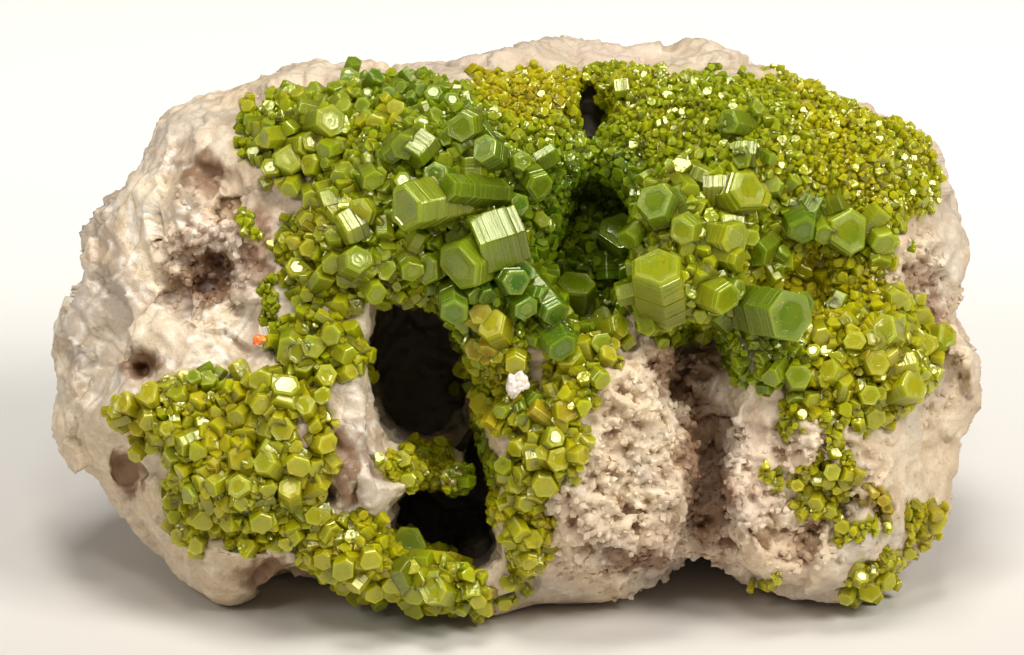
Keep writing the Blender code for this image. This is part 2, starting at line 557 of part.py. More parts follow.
def build_grain(grain, trims, tree, collection, cutters, material):
    """One loose grain: a small faceted lump, trimmed clear of what it lies on."""
    place, _ = surface_below(tree, grain.across, grain.up)
    bm = bmesh.new()
    bmesh.ops.create_icosphere(bm, subdivisions=1, radius=1.0)
    for vertex in bm.verts:
        lumpy = vertex.co * (1 + 0.3 * noise.noise(vertex.co * 2.1))
        offset = ACROSS * lumpy.x * grain.half_width + UP * lumpy.y * grain.half_height
        vertex.co = (place + offset + OUT * (grain.lift + lumpy.z * grain.thickness)) * MM
    draft = add_object(f"{grain.name}_draft", mesh_from_bmesh(grain.name, bm), cutters, shown=False)
    for trim in trims:
        boolean(draft, trim, "DIFFERENCE")
    return add_object(grain.name, largest_body(evaluated_mesh(draft)), collection, material)


def main():
    clear_scene()
    randomness = random.Random(11)
    specimen = new_collection("pyromorphite_specimen")
    cutters = new_collection("cutters", shown=False)
    quartz = new_material("quartz", 0.6)
    pyromorphite = new_material("pyromorphite", 0.2)

    matrix = build_matrix(specimen, cutters, quartz)
    bpy.context.view_layer.update()
    tree = BVHTree.FromObject(matrix, bpy.context.evaluated_depsgraph_get())
    trims = [
        grown_copy(matrix, cutters, "rock_with_gap", SKIN_GAP, TRIM_TRIANGLES),
        grown_copy(matrix, cutters, "rock_with_least_gap", LEAST_GAP),
        floor_cutter("floor_clearance", FLOOR_CLEARANCE, cutters),
    ]
    skin = evaluated_mesh(grown_copy(matrix, cutters, "crust_blank", CRUST_TOP, CRUST_TRIANGLES))
    crusts = [
        build_crust(name, skin, trims, tree, specimen, cutters, pyromorphite, randomness)
        for name in PATCHES
    ]
    trims.append(grown_copy(crusts[0], cutters, "crust_with_least_gap", LEAST_GAP))
    for grain in GRAINS:
        material = new_material(grain.material, 0.3)
        build_grain(grain, trims, tree, specimen, cutters, material)


if __name__ == "__main__":
    main()
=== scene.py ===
"""The looks of a pyromorphite specimen: sugary vuggy quartz under a crust of green crystals.

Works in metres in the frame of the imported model. Places on the crystal face are given in
millimetres as (across, up, out): across along +X, up the leaning face, out straight away from it.
"""

import json
import math
import random

import bmesh
import bpy
import numpy as np
from bpy.props import FloatProperty, FloatVectorProperty, IntProperty, PointerProperty
from bpy.types import Operator, Panel, PropertyGroup
from mathutils import Matrix, Vector, noise
from mathutils.bvhtree import BVHTree

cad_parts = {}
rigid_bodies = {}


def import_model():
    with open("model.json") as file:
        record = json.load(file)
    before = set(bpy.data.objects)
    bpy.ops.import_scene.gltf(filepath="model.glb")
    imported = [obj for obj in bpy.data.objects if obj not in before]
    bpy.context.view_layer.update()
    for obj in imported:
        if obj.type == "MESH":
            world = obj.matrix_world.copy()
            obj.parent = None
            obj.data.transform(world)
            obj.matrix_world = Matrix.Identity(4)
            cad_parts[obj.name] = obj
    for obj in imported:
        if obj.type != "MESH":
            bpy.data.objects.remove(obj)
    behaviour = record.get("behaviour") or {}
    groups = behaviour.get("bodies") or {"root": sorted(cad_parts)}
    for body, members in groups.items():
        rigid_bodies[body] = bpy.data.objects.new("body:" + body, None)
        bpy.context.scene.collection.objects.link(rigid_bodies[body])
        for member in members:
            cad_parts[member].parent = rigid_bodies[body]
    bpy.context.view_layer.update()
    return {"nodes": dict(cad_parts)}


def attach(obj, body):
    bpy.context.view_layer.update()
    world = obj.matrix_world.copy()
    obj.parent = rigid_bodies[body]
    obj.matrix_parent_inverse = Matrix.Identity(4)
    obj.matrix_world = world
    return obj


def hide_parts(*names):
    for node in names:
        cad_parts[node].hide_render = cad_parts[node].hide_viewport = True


bl_info = {
    "name": "Pyromorphite specimen",
    "version": (1, 0, 0),
    "blender": (4, 5, 0),
    "location": "3D View > Sidebar > Specimen",
    "description": "Dresses a mineral specimen: quartz rock, green barrels, druse and a pale stage",
    "category": "Object",
}

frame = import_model()

MM = 0.001
FACE_LEAN = math.radians(22)
FACE_CENTRE = Vector((0.0, 0.5, 17.3))
ACROSS = Vector((1.0, 0.0, 0.0))
UP = Vector((0.0, math.sin(FACE_LEAN), math.cos(FACE_LEAN)))
OUT = Vector((0.0, -math.cos(FACE_LEAN), math.sin(FACE_LEAN)))
# Well outside the face, in millimetres: where lines that look for the rock start
FAR_OUT = 40.0
# From the camera to the face, and from the middle of the floor to its edge, in metres
EYE_DISTANCE = 0.6
FLOOR_REACH = 3.0
# Where the rock is cut into three meshes: behind this level, and left or right of this place
BACK_LEVEL = -1.5
LEFT_SIDE = -1.0
# How far a place on the rock looks for sky, for its painted shade: close by, and for the deep caves
NEAR_REACH, FAR_REACH = 3.0, 16.0
# The two single grains: mesh size, facets per millimetre and how steep they are
GRAIN_GRID = 0.00009
GRAIN_FACETS = 2.2
GRAIN_SLOPE = 0.35

# Fixes the noise that tilts the broken facets, so every run gives the same rock
BREAK_SEED = 5

# What later operators need of the finished rock: its mesh, and its surface in millimetres
surface = {}

# Leading crystals: across, up, radius, length, lean across, lean up, tone, ribbed.
# Tone runs from 0, ochre, through yellow-green and lime to 1, deep green.
BARRELS = [
    (-4.0, 7.9, 2.05, 4.1, -0.74, -0.16, 0.58, 1), (-2.0, 5.2, 1.9, 3.2, -0.62, -0.32, 0.66, 1),
    (-2.9, 13.5, 1.26, 2.9, -0.55, -0.45, 0.74, 1), (-1.5, 11.4, 1.05, 2.3, -0.66, -0.12, 0.8, 1),
    (-1.8, 9.2, 1.26, 3.8, -0.78, 0.06, 0.82, 1), (-4.5, 10.3, 0.98, 2.2, -0.5, 0.25, 0.78, 1),
    (0.7, 10.6, 1.12, 2.2, 0.45, -0.42, 0.72, 1), (1.7, 7.4, 0.70, 1.4, 0.45, 0.1, 0.45, 0),
    (-0.5, 8.5, 0.98, 2, 0.2, 0.35, 0.84, 1), (-6.7, 12.4, 1.05, 1.9, -0.3, -0.5, 0.62, 0),
    (-8.0, 12.3, 0.84, 1.5, -0.2, -0.3, 0.72, 0), (-5.9, 13.9, 0.70, 1.3, 0.2, 0.2, 0.6, 0),
    (-9.9, 7.8, 1.05, 1.7, -0.15, 0.3, 0.48, 0), (-10.6, 4.6, 1.33, 1.7, 0.08, -0.05, 0.55, 0),
    (-5.0, 4.6, 1.19, 2, -0.45, -0.45, 0.66, 0), (-3.8, 2.6, 1.12, 3.4, 0.42, -0.55, 0.84, 1),
    (-0.6, 3.2, 1.05, 2.7, 0.35, -0.6, 0.95, 1), (0.4, 3.2, 1.26, 4.3, 0.5, -0.6, 0.86, 1),
    (4.3, 1.6, 1.54, 2.3, -0.05, 0.42, 0.72, 0), (5.5, 0.1, 1.33, 1.5, 0.1, 0.05, 0.5, 0),
    (6.9, -0.4, 0.91, 1.2, 0.25, -0.1, 0.38, 0), (2.3, 0.1, 1.19, 3, 0.3, -0.55, 0.86, 1),
    (-0.8, -0.2, 1.12, 1.6, 0.15, 0.3, 0.3, 0), (-1.7, -1.5, 0.91, 1.3, -0.1, -0.1, 0.12, 0),
    (0.3, -1.8, 0.91, 1.4, 0.2, 0.15, 0.3, 0), (-2.9, -2.7, 0.70, 1.2, -0.4, 0.1, 0.36, 0),
    (-3.5, -4.4, 0.56, 1, -0.5, 0.1, 0.45, 0), (-2.1, -3.9, 0.77, 1.3, -0.2, 0.1, 0.62, 0),
    (-1.7, -5.5, 0.84, 1.1, -0.1, 0.1, 0.28, 0), (-0.4, -5.0, 0.77, 1.4, 0, -0.1, 0.6, 0),
    (1.2, -5.0, 0.91, 1.5, 0.3, -0.2, 0.6, 0), (2.0, -6.0, 0.77, 1.2, 0.1, 0, 0.45, 0),
    (3.5, -5.7, 0.98, 1.4, 0.1, 0.1, 0.22, 0), (4.3, -2.7, 1.05, 1.6, 0.1, 0.2, 0.42, 0),
    (5.6, -3.2, 0.77, 1.2, 0.2, 0.1, 0.36, 0), (6.3, -2.2, 0.70, 1.1, 0.3, 0.2, 0.33, 0),
    (3.4, -1.5, 0.84, 1.3, -0.1, 0.2, 0.4, 0), (7.7, 5.5, 1.61, 2.6, -0.38, 0.2, 0.82, 1),
    (10.4, 7.9, 1.45, 2.4, -0.3, 0.45, 0.70, 1), (10.0, 9.8, 0.70, 1.2, 0, 0.1, 0.5, 0),
    (11.6, 9.5, 0.84, 1.4, -0.05, 0.05, 0.48, 0), (12.5, 10.4, 0.84, 1.3, 0.1, 0.1, 0.5, 0),
    (14.7, 9.5, 1.75, 2.4, 0.35, 0.35, 0.48, 1), (12.1, 6.8, 1.20, 1.8, -0.35, -0.2, 0.52, 1),
    (13.6, 6.1, 1.40, 2.1, 0.35, -0.25, 0.46, 1), (15.5, 6.3, 0.70, 1.5, 0.5, 0, 0.46, 0),
    (10.9, 2.4, 1.95, 3.0, -0.15, 0.62, 0.50, 1), (13.3, 2.7, 1.40, 2.3, 0.40, -0.25, 0.5, 0),
    (10.7, 0.6, 0.91, 1.5, -0.05, -0.5, 0.4, 0), (14.3, 3.1, 0.70, 1.7, 0.55, 0, 0.6, 0),
    (16.1, 2.0, 0.84, 1.4, 0.2, 0.3, 0.62, 0), (17.2, 5.5, 1.05, 1.6, 0, -0.1, 0.72, 0),
    (16.3, 11.7, 0.84, 1.6, 0, 0.2, 0.72, 0), (15.8, 13.7, 0.98, 1.6, -0.1, 0.3, 0.7, 0),
    (19.5, 7.4, 1.19, 1.8, 0.15, 0.15, 0.8, 0), (16.7, 0.2, 2.00, 4.3, 0.60, -0.52, 0.78, 1),
    (19.5, -3.2, 1.05, 1.7, 0.1, -0.3, 0.56, 0), (20.2, -4.8, 0.70, 1.2, 0.1, -0.4, 0.42, 0),
    (22.4, 6.7, 1.75, 1.9, 0.35, 0.30, 0.56, 0), (25.2, 6.4, 1.05, 1.5, 0.2, 0.1, 0.5, 0),
    (16.1, 8.5, 0.98, 1.6, 0.25, 0.2, 0.38, 0), (17.9, 9.6, 0.77, 1.3, 0.2, 0.3, 0.5, 0),
    (22.5, 1.7, 0.56, 1.2, 0.1, 0.2, 0.5, 0), (26.1, -0.5, 1.12, 1.6, 0.1, 0.1, 0.4, 0),
    (27.6, -1.0, 0.70, 1.1, 0.25, 0, 0.38, 0), (26.3, -4.3, 1.33, 1.9, 0.15, -0.15, 0.36, 0),
    (22.4, -3.3, 0.91, 1.4, -0.1, -0.2, 0.36, 0), (24.1, -4.6, 0.84, 1.3, 0, -0.3, 0.4, 0),
    (29.3, -0.9, 1.05, 1.5, 0.4, 0.05, 0.36, 0), (25.8, 1.9, 0.84, 1.2, 0.1, 0.2, 0.36, 0),
    (23.4, -1.1, 0.84, 1.3, -0.1, 0.1, 0.28, 0), (24.8, -2.5, 0.98, 1.4, 0, 0, 0.33, 0),
    (21.2, -0.6, 0.77, 1.2, -0.1, 0.1, 0.34, 0), (24.5, -6.0, 0.91, 1.3, 0, -0.4, 0.33, 0),
    (27.5, -3.0, 0.84, 1.2, 0.3, -0.1, 0.34, 0), (28.0, 1.1, 0.77, 1.1, 0.25, 0.2, 0.34, 0),
    (18.1, 4.6, 0.70, 1.2, 0, 0, 0.5, 0), (20.2, 4.6, 0.70, 1.1, 0.1, 0, 0.3, 0),
    (21.6, 3.3, 0.63, 1, 0, 0.1, 0.26, 0), (19.1, 1.9, 0.63, 1, 0, 0.1, 0.24, 0),
    (9.0, 1.9, 0.84, 1.3, -0.3, -0.2, 0.5, 0), (9.5, 4.1, 0.77, 1.2, -0.35, 0, 0.6, 0),
    (8.4, 2.9, 0.70, 1.2, -0.4, -0.1, 0.6, 0),
]
UPPER = [
    (-16.0, 13.2, 0.84, 1.3, -0.25, 0.25, 0.46, 0), (-15.5, 11.3, 1.19, 1.6, -0.15, -0.1, 0.5, 0),
    (-12.9, 13.9, 1.19, 1.7, -0.05, 0.1, 0.55, 0), (-11.5, 14.4, 0.77, 1.4, 0.15, 0.3, 0.55, 0),
    (-13.2, 11.0, 0.84, 1.3, -0.2, -0.1, 0.46, 0), (-11.2, 10.6, 0.77, 1.2, 0.1, -0.1, 0.5, 0),
    (-11.2, 16.9, 0.77, 1.2, 0, 0.4, 0.78, 0), (-9.7, 16.7, 0.63, 1.1, 0.15, 0.4, 0.8, 0),
    (-8.7, 15.9, 0.63, 1.1, 0.1, 0.3, 0.8, 0), (-7.7, 16.5, 0.63, 1.2, 0.1, 0.35, 0.78, 0),
    (-6.6, 16.2, 0.70, 1.3, 0.2, 0.3, 0.8, 0), (-5.5, 15.6, 0.70, 1.2, 0.2, 0.3, 0.78, 0),
    (-4.5, 15.1, 0.63, 1.2, 0.2, 0.3, 0.76, 0), (-7.8, 14.6, 0.70, 1.1, 0.1, 0.2, 0.35, 0),
    (-14.6, 15.3, 0.70, 1.1, -0.1, 0.35, 0.45, 0), (-13.4, 16.2, 0.63, 1.1, -0.1, 0.4, 0.55, 0),
    (-12.2, 15.9, 0.63, 1.1, 0, 0.35, 0.6, 0), (-10.2, 15.1, 0.70, 1.1, 0.1, 0.2, 0.62, 0),
    (-14.0, 12.4, 0.77, 1.2, -0.2, 0, 0.48, 0), (-12.0, 12.3, 0.84, 1.3, 0, 0, 0.52, 0),
    (-14.8, 9.9, 0.70, 1.1, -0.3, -0.2, 0.42, 0), (-13.6, 9.2, 0.77, 1.1, -0.2, -0.2, 0.4, 0),
    (-11.9, 8.9, 0.84, 1.2, -0.1, -0.1, 0.42, 0), (-14.1, 7.4, 0.77, 1.1, -0.3, 0, 0.38, 0),
    (-12.7, 6.7, 0.84, 1.2, -0.2, 0, 0.4, 0), (-14.0, 5.5, 0.70, 1, -0.3, -0.1, 0.34, 0),
    (-14.1, 4.0, 0.98, 1.3, -0.2, -0.1, 0.42, 0), (-12.9, 3.0, 0.91, 1.3, -0.1, -0.25, 0.44, 0),
    (-11.7, 5.8, 0.91, 1.3, -0.05, 0.1, 0.45, 0), (-12.2, 4.1, 0.84, 1.2, -0.1, -0.1, 0.42, 0),
    (-9.7, 10.4, 0.84, 1.3, 0.1, 0, 0.55, 0), (-8.4, 9.6, 0.84, 1.3, 0.05, -0.1, 0.62, 0),
    (-9.0, 13.9, 0.77, 1.2, 0, 0.15, 0.4, 0), (-17.1, 13.9, 0.63, 1, -0.35, 0.2, 0.4, 0),
    (-16.8, 12.4, 0.63, 1, -0.35, 0, 0.42, 0), (-17.9, 14.8, 0.56, 0.9, -0.4, 0.3, 0.36, 0),
    (-11.3, 1.9, 0.84, 1.2, -0.05, -0.35, 0.42, 0), (-9.8, 2.9, 0.91, 1.4, 0.1, -0.4, 0.5, 0),
    (-8.4, 4.0, 0.84, 1.4, 0.1, -0.4, 0.5, 0), (-7.1, 4.6, 0.91, 1.5, 0, -0.5, 0.52, 0),
]
LEFT = [
    (-15.1, -1.2, 1.19, 1.6, -0.1, 0.15, 0.42, 0), (-13.6, -1.6, 0.98, 1.5, 0.1, 0.1, 0.45, 0),
    (-12.0, -0.2, 0.84, 1.3, 0.2, 0.2, 0.42, 0), (-11.7, -1.6, 0.77, 1.2, 0.3, 0.1, 0.4, 0),
    (-12.7, -3.7, 0.91, 1.4, 0.25, -0.1, 0.38, 0), (-14.1, -3.2, 0.91, 1.4, 0, 0, 0.42, 0),
    (-15.4, -4.7, 1.05, 1.6, -0.05, 0.15, 0.38, 0), (-16.9, -3.6, 0.84, 1.2, -0.15, 0.2, 0.36, 0),
    (-17.3, -5.0, 0.84, 1.3, -0.1, 0.1, 0.3, 0), (-18.3, -5.7, 0.84, 1.2, -0.1, 0.1, 0.34, 0),
    (-19.6, -6.5, 0.77, 1.2, -0.15, 0.1, 0.3, 0), (-20.8, -4.1, 0.77, 1.1, -0.2, 0.35, 0.52, 0),
    (-21.8, -3.6, 0.63, 1, -0.25, 0.4, 0.6, 0), (-22.7, -5.0, 0.70, 1.1, -0.3, 0.2, 0.45, 0),
    (-24.6, -5.0, 0.91, 1.3, -0.35, 0.2, 0.26, 0), (-26.0, -5.3, 0.77, 1.1, -0.5, 0.2, 0.22, 0),
    (-27.0, -5.8, 0.63, 1, -0.55, 0.1, 0.2, 0), (-25.6, -6.8, 0.77, 1.2, -0.4, 0.05, 0.24, 0),
    (-24.4, -7.6, 0.84, 1.2, -0.3, 0, 0.34, 0), (-22.9, -8.8, 0.70, 1.1, -0.2, 0, 0.42, 0),
    (-21.8, -7.8, 0.84, 1.2, -0.15, 0.05, 0.36, 0), (-20.4, -8.2, 0.84, 1.2, 0, 0, 0.32, 0),
    (-18.8, -8.8, 0.98, 1.4, 0, 0.05, 0.3, 0), (-17.1, -7.1, 0.98, 1.5, 0, 0.1, 0.32, 0),
    (-15.5, -6.8, 0.91, 1.4, 0.1, 0.05, 0.36, 0), (-14.0, -5.8, 0.84, 1.3, 0.2, 0.05, 0.34, 0),
    (-13.3, -7.9, 0.84, 1.3, 0.25, 0, 0.32, 0), (-14.8, -9.0, 0.91, 1.4, 0.1, 0, 0.3, 0),
    (-16.5, -9.7, 0.98, 1.4, 0.05, 0, 0.34, 0), (-18.2, -11.0, 0.91, 1.3, 0, -0.1, 0.36, 0),
    (-19.9, -10.6, 0.84, 1.3, -0.1, -0.05, 0.38, 0),
    (-21.4, -11.0, 0.77, 1.2, -0.15, -0.1, 0.42, 0), (-22.7, -10.6, 0.70, 1.1, -0.25, 0, 0.4, 0),
    (-23.5, -12.1, 0.70, 1, -0.3, -0.1, 0.38, 0), (-21.3, -12.7, 0.84, 1.2, -0.1, -0.2, 0.34, 0),
    (-19.3, -13.0, 0.84, 1.3, 0, -0.15, 0.32, 0), (-17.4, -12.7, 0.91, 1.4, 0.05, -0.1, 0.34, 0),
    (-15.5, -11.4, 0.91, 1.4, 0.15, -0.05, 0.36, 0), (-13.9, -10.6, 0.84, 1.3, 0.25, 0, 0.32, 0),
    (-14.0, -12.8, 0.84, 1.3, 0.2, -0.15, 0.34, 0), (-22.5, -14.2, 0.70, 1.1, -0.2, -0.4, 0.3, 0),
    (-21.4, -14.9, 0.70, 1.1, -0.1, -0.5, 0.32, 0), (-20.3, -13.9, 0.70, 1.1, -0.05, -0.3, 0.33, 0),
    (-14.8, -14.1, 0.77, 1.2, 0.1, -0.2, 0.3, 0), (-13.0, -13.5, 0.84, 1.3, 0.2, -0.15, 0.33, 0),
    (-12.7, -15.3, 0.84, 1.3, 0.1, -0.3, 0.34, 0), (-11.2, -16.0, 0.98, 1.4, 0, -0.3, 0.38, 0),
    (-9.8, -15.5, 0.84, 1.3, 0.1, -0.1, 0.33, 0), (-11.3, -17.7, 0.77, 1.2, -0.05, -0.5, 0.36, 0),
    (-9.8, -17.6, 0.84, 1.3, 0.05, -0.4, 0.38, 0), (-7.5, -15.7, 1.33, 1.9, 0.05, 0.05, 0.58, 0),
    (-5.7, -16.3, 0.77, 1.3, 0.2, 0.05, 0.4, 0), (-6.2, -17.9, 0.91, 1.3, 0.05, -0.3, 0.42, 0),
    (-4.6, -17.7, 1.26, 1.8, 0.2, -0.1, 0.44, 0), (-2.9, -18.3, 0.70, 1.1, 0.3, -0.2, 0.33, 0),
    (-8.3, -17.2, 0.77, 1.2, 0, -0.3, 0.4, 0), (-10.6, -19.1, 0.63, 1, 0, -0.6, 0.36, 0),
    (-1.8, -19.1, 0.70, 1, 0.1, -0.5, 0.3, 0),
]
SPUR = [
    (2.9, -7.4, 0.84, 1.3, 0.2, 0.1, 0.4, 0), (4.2, -7.9, 0.84, 1.2, 0.3, 0.05, 0.3, 0),
    (2.0, -8.2, 0.84, 1.3, 0, 0, 0.36, 0), (3.4, -9.2, 0.91, 1.3, 0.1, -0.1, 0.3, 0),
    (1.3, -9.7, 0.91, 1.3, -0.1, -0.1, 0.32, 0), (2.5, -10.6, 0.91, 1.3, 0.1, -0.2, 0.3, 0),
    (0.4, -10.6, 0.84, 1.2, -0.2, -0.1, 0.36, 0), (0.9, -11.8, 0.84, 1.2, -0.05, -0.3, 0.34, 0),
    (-0.1, -9.3, 0.77, 1.2, -0.3, 0, 0.45, 0), (0.6, -13.5, 0.77, 1.1, 0, -0.1, 0.36, 0),
    (1.3, -14.6, 0.77, 1.1, 0.1, -0.1, 0.3, 0), (0.2, -15.5, 0.70, 1, -0.1, -0.1, 0.36, 0),
    (0.9, -16.5, 0.70, 1, 0, -0.2, 0.32, 0), (0.0, -17.6, 0.70, 1, -0.05, -0.2, 0.34, 0),
    (-0.8, -18.8, 0.63, 0.9, -0.1, -0.4, 0.3, 0), (-7.6, -9.5, 0.63, 1, 0.1, 0.3, 0.38, 0),
    (-6.4, -8.8, 0.63, 1, 0.1, 0.3, 0.36, 0), (-5.3, -8.5, 0.56, 1, 0.2, 0.3, 0.34, 0),
    (-7.0, -10.3, 0.56, 0.9, 0, 0.2, 0.36, 0), (-4.0, -19.1, 0.56, 0.9, 0.1, -0.5, 0.32, 0),
]
# Crystals with a face turned to mirror a softbox at the camera: across, up, radius, length,
# lean across, lean up, tone, ribbed, softbox, and whether the cap mirrors it or a side
MIRRORS = [
    (-0.9, 5.9, 2.30, 3.4, -0.95, -0.20, 0.66, 0, 0, 0), (-6.3, 12.2, 1.25, 1.9, -0.55, -0.60, 0.62, 0, 0, 0),
    (-6.4, 13.8, 0.70, 1.0, 0.60, 0.30, 0.58, 0, 1, 1), (-10.9, 6.9, 1.30, 1.7, -0.80, -0.30, 0.50, 0, 0, 0),
    (-7.5, 9.9, 0.70, 1.1, 0.30, 0.30, 0.60, 0, 3, 1), (-6.6, 9.7, 0.65, 1.0, 0.30, 0.10, 0.66, 0, 0, 0),
    (-5.7, 7.9, 0.80, 1.2, -0.50, 0.10, 0.60, 1, 2, 0), (3.0, -0.3, 1.30, 2.8, 0.45, -0.80, 0.84, 1, 0, 0),
    (14.0, 9.3, 1.25, 1.9, 0.30, 0.20, 0.48, 1, 0, 0), (14.8, 6.9, 1.00, 1.7, -0.90, 0.10, 0.45, 0, 1, 0),
    (14.5, 3.0, 0.95, 1.7, 0.95, 0.10, 0.50, 0, 2, 0), (16.2, 2.1, 0.95, 1.4, 0.20, 0.30, 0.50, 0, 3, 1),
    (-15.5, -4.8, 0.95, 1.5, -0.20, -0.50, 0.36, 0, 0, 0), (22.5, 1.8, 0.75, 1.3, 0.20, 0.80, 0.45, 0, 2, 0),
    (7.6, 16.6, 0.80, 1.1, -0.80, 0.10, 0.45, 0, 0, 0), (16.0, 11.9, 1.00, 1.5, -0.80, 0.30, 0.70, 1, 0, 0),
    (-14.8, 3.9, 0.90, 1.3, 0.30, 0.40, 0.40, 0, 3, 1), (10.9, 2.9, 0.80, 1.3, 0.80, 0.50, 0.52, 1, 1, 0),
    (7.6, 6.1, 1.10, 1.9, -0.60, -0.60, 0.76, 1, 0, 0), (2.3, 7.0, 0.60, 0.9, 0.50, 0.20, 0.55, 0, 0, 0),
    (25.9, -0.2, 0.60, 0.9, 0.50, 0.20, 0.40, 0, 1, 1), (-20.6, -9.6, 0.55, 0.8, 0.40, 0.30, 0.34, 0, 0, 1),
    (-18.0, -12.0, 0.50, 0.8, 0.40, 0.30, 0.36, 0, 2, 1),
    (-12.0, -14.6, 0.55, 0.8, 0.40, 0.30, 0.36, 0, 0, 0),
    (-3.1, -18.2, 0.60, 0.9, 0.40, 0.30, 0.40, 0, 0, 0), (-17.0, 10.0, 0.55, 0.8, 0.40, 0.30, 0.42, 0, 3, 0),
    (-10.0, 16.0, 0.50, 0.8, 0.40, 0.30, 0.76, 0, 0, 1), (20.6, -1.9, 0.60, 0.9, 0.40, 0.30, 0.40, 0, 0, 1),
    (1.8, -7.0, 0.55, 0.8, 0.40, 0.30, 0.36, 0, 0, 0), (-23.2, -6.4, 0.50, 0.8, 0.40, 0.30, 0.36, 0, 0, 0),
]
# The studio's softboxes: name, place from the middle of the face, size, in metres
SOFTBOXES = [
    ("overhead_softbox", (-0.02, -0.07, 0.53), (0.18, 0.16)),
    ("right_softbox", (0.30, -0.22, 0.34), (0.17, 0.17)),
    ("left_softbox", (-0.26, -0.30, 0.30), (0.08, 0.10)),
    ("front_softbox", (0.02, -0.32, 0.42), (0.09, 0.09)),
]
SMALL = [
    (20.6, -9.9, 0.63, 0.9, -0.1, 0.2, 0.34, 0), (21.4, -10.6, 0.70, 1, 0, 0.1, 0.36, 0),
    (22.3, -9.7, 0.63, 0.9, 0.1, 0.1, 0.34, 0), (21.0, -11.7, 0.63, 0.9, -0.1, 0, 0.3, 0),
    (22.0, -12.4, 0.63, 0.9, 0.1, -0.1, 0.33, 0), (23.3, -10.2, 0.56, 0.8, 0.1, 0.2, 0.28, 0),
    (20.2, -12.5, 0.56, 0.8, -0.2, -0.1, 0.3, 0), (19.7, -10.9, 0.49, 0.8, -0.2, 0.1, 0.32, 0),
    (22.8, -13.7, 0.56, 0.8, 0.1, -0.2, 0.33, 0), (24.5, -17.9, 0.84, 1.1, 0, -0.2, 0.36, 0),
    (25.6, -17.3, 0.77, 1.1, 0.2, -0.1, 0.32, 0), (25.1, -18.6, 0.63, 0.9, 0.1, -0.5, 0.34, 0),
    (23.8, -17.2, 0.56, 0.8, -0.1, 0, 0.32, 0), (26.5, -16.2, 0.56, 0.8, 0.2, 0, 0.3, 0),
    (28.9, -13.5, 0.91, 1.1, 0.3, 0, 0.22, 0), (25.2, -11.9, 0.50, 0.8, 0, 0.1, 0.0, 0),
    (25.8, -12.5, 0.45, 0.7, 0.2, 0, 0.02, 0), (24.7, -11.2, 0.38, 0.6, -0.1, 0.2, 0.04, 0),
    (28.4, -14.2, 0.63, 0.9, 0.2, -0.2, 0.26, 0),
    (29.5, -13.0, 0.56, 0.8, 0.4, 0.1, 0.3, 0), (17.5, -17.9, 0.42, 0.6, 0, -0.2, 0.28, 0),
    (18.4, -17.2, 0.35, 0.5, 0, 0, 0.3, 0), (27.5, -15.5, 0.49, 0.7, 0.2, 0, 0.3, 0),
]

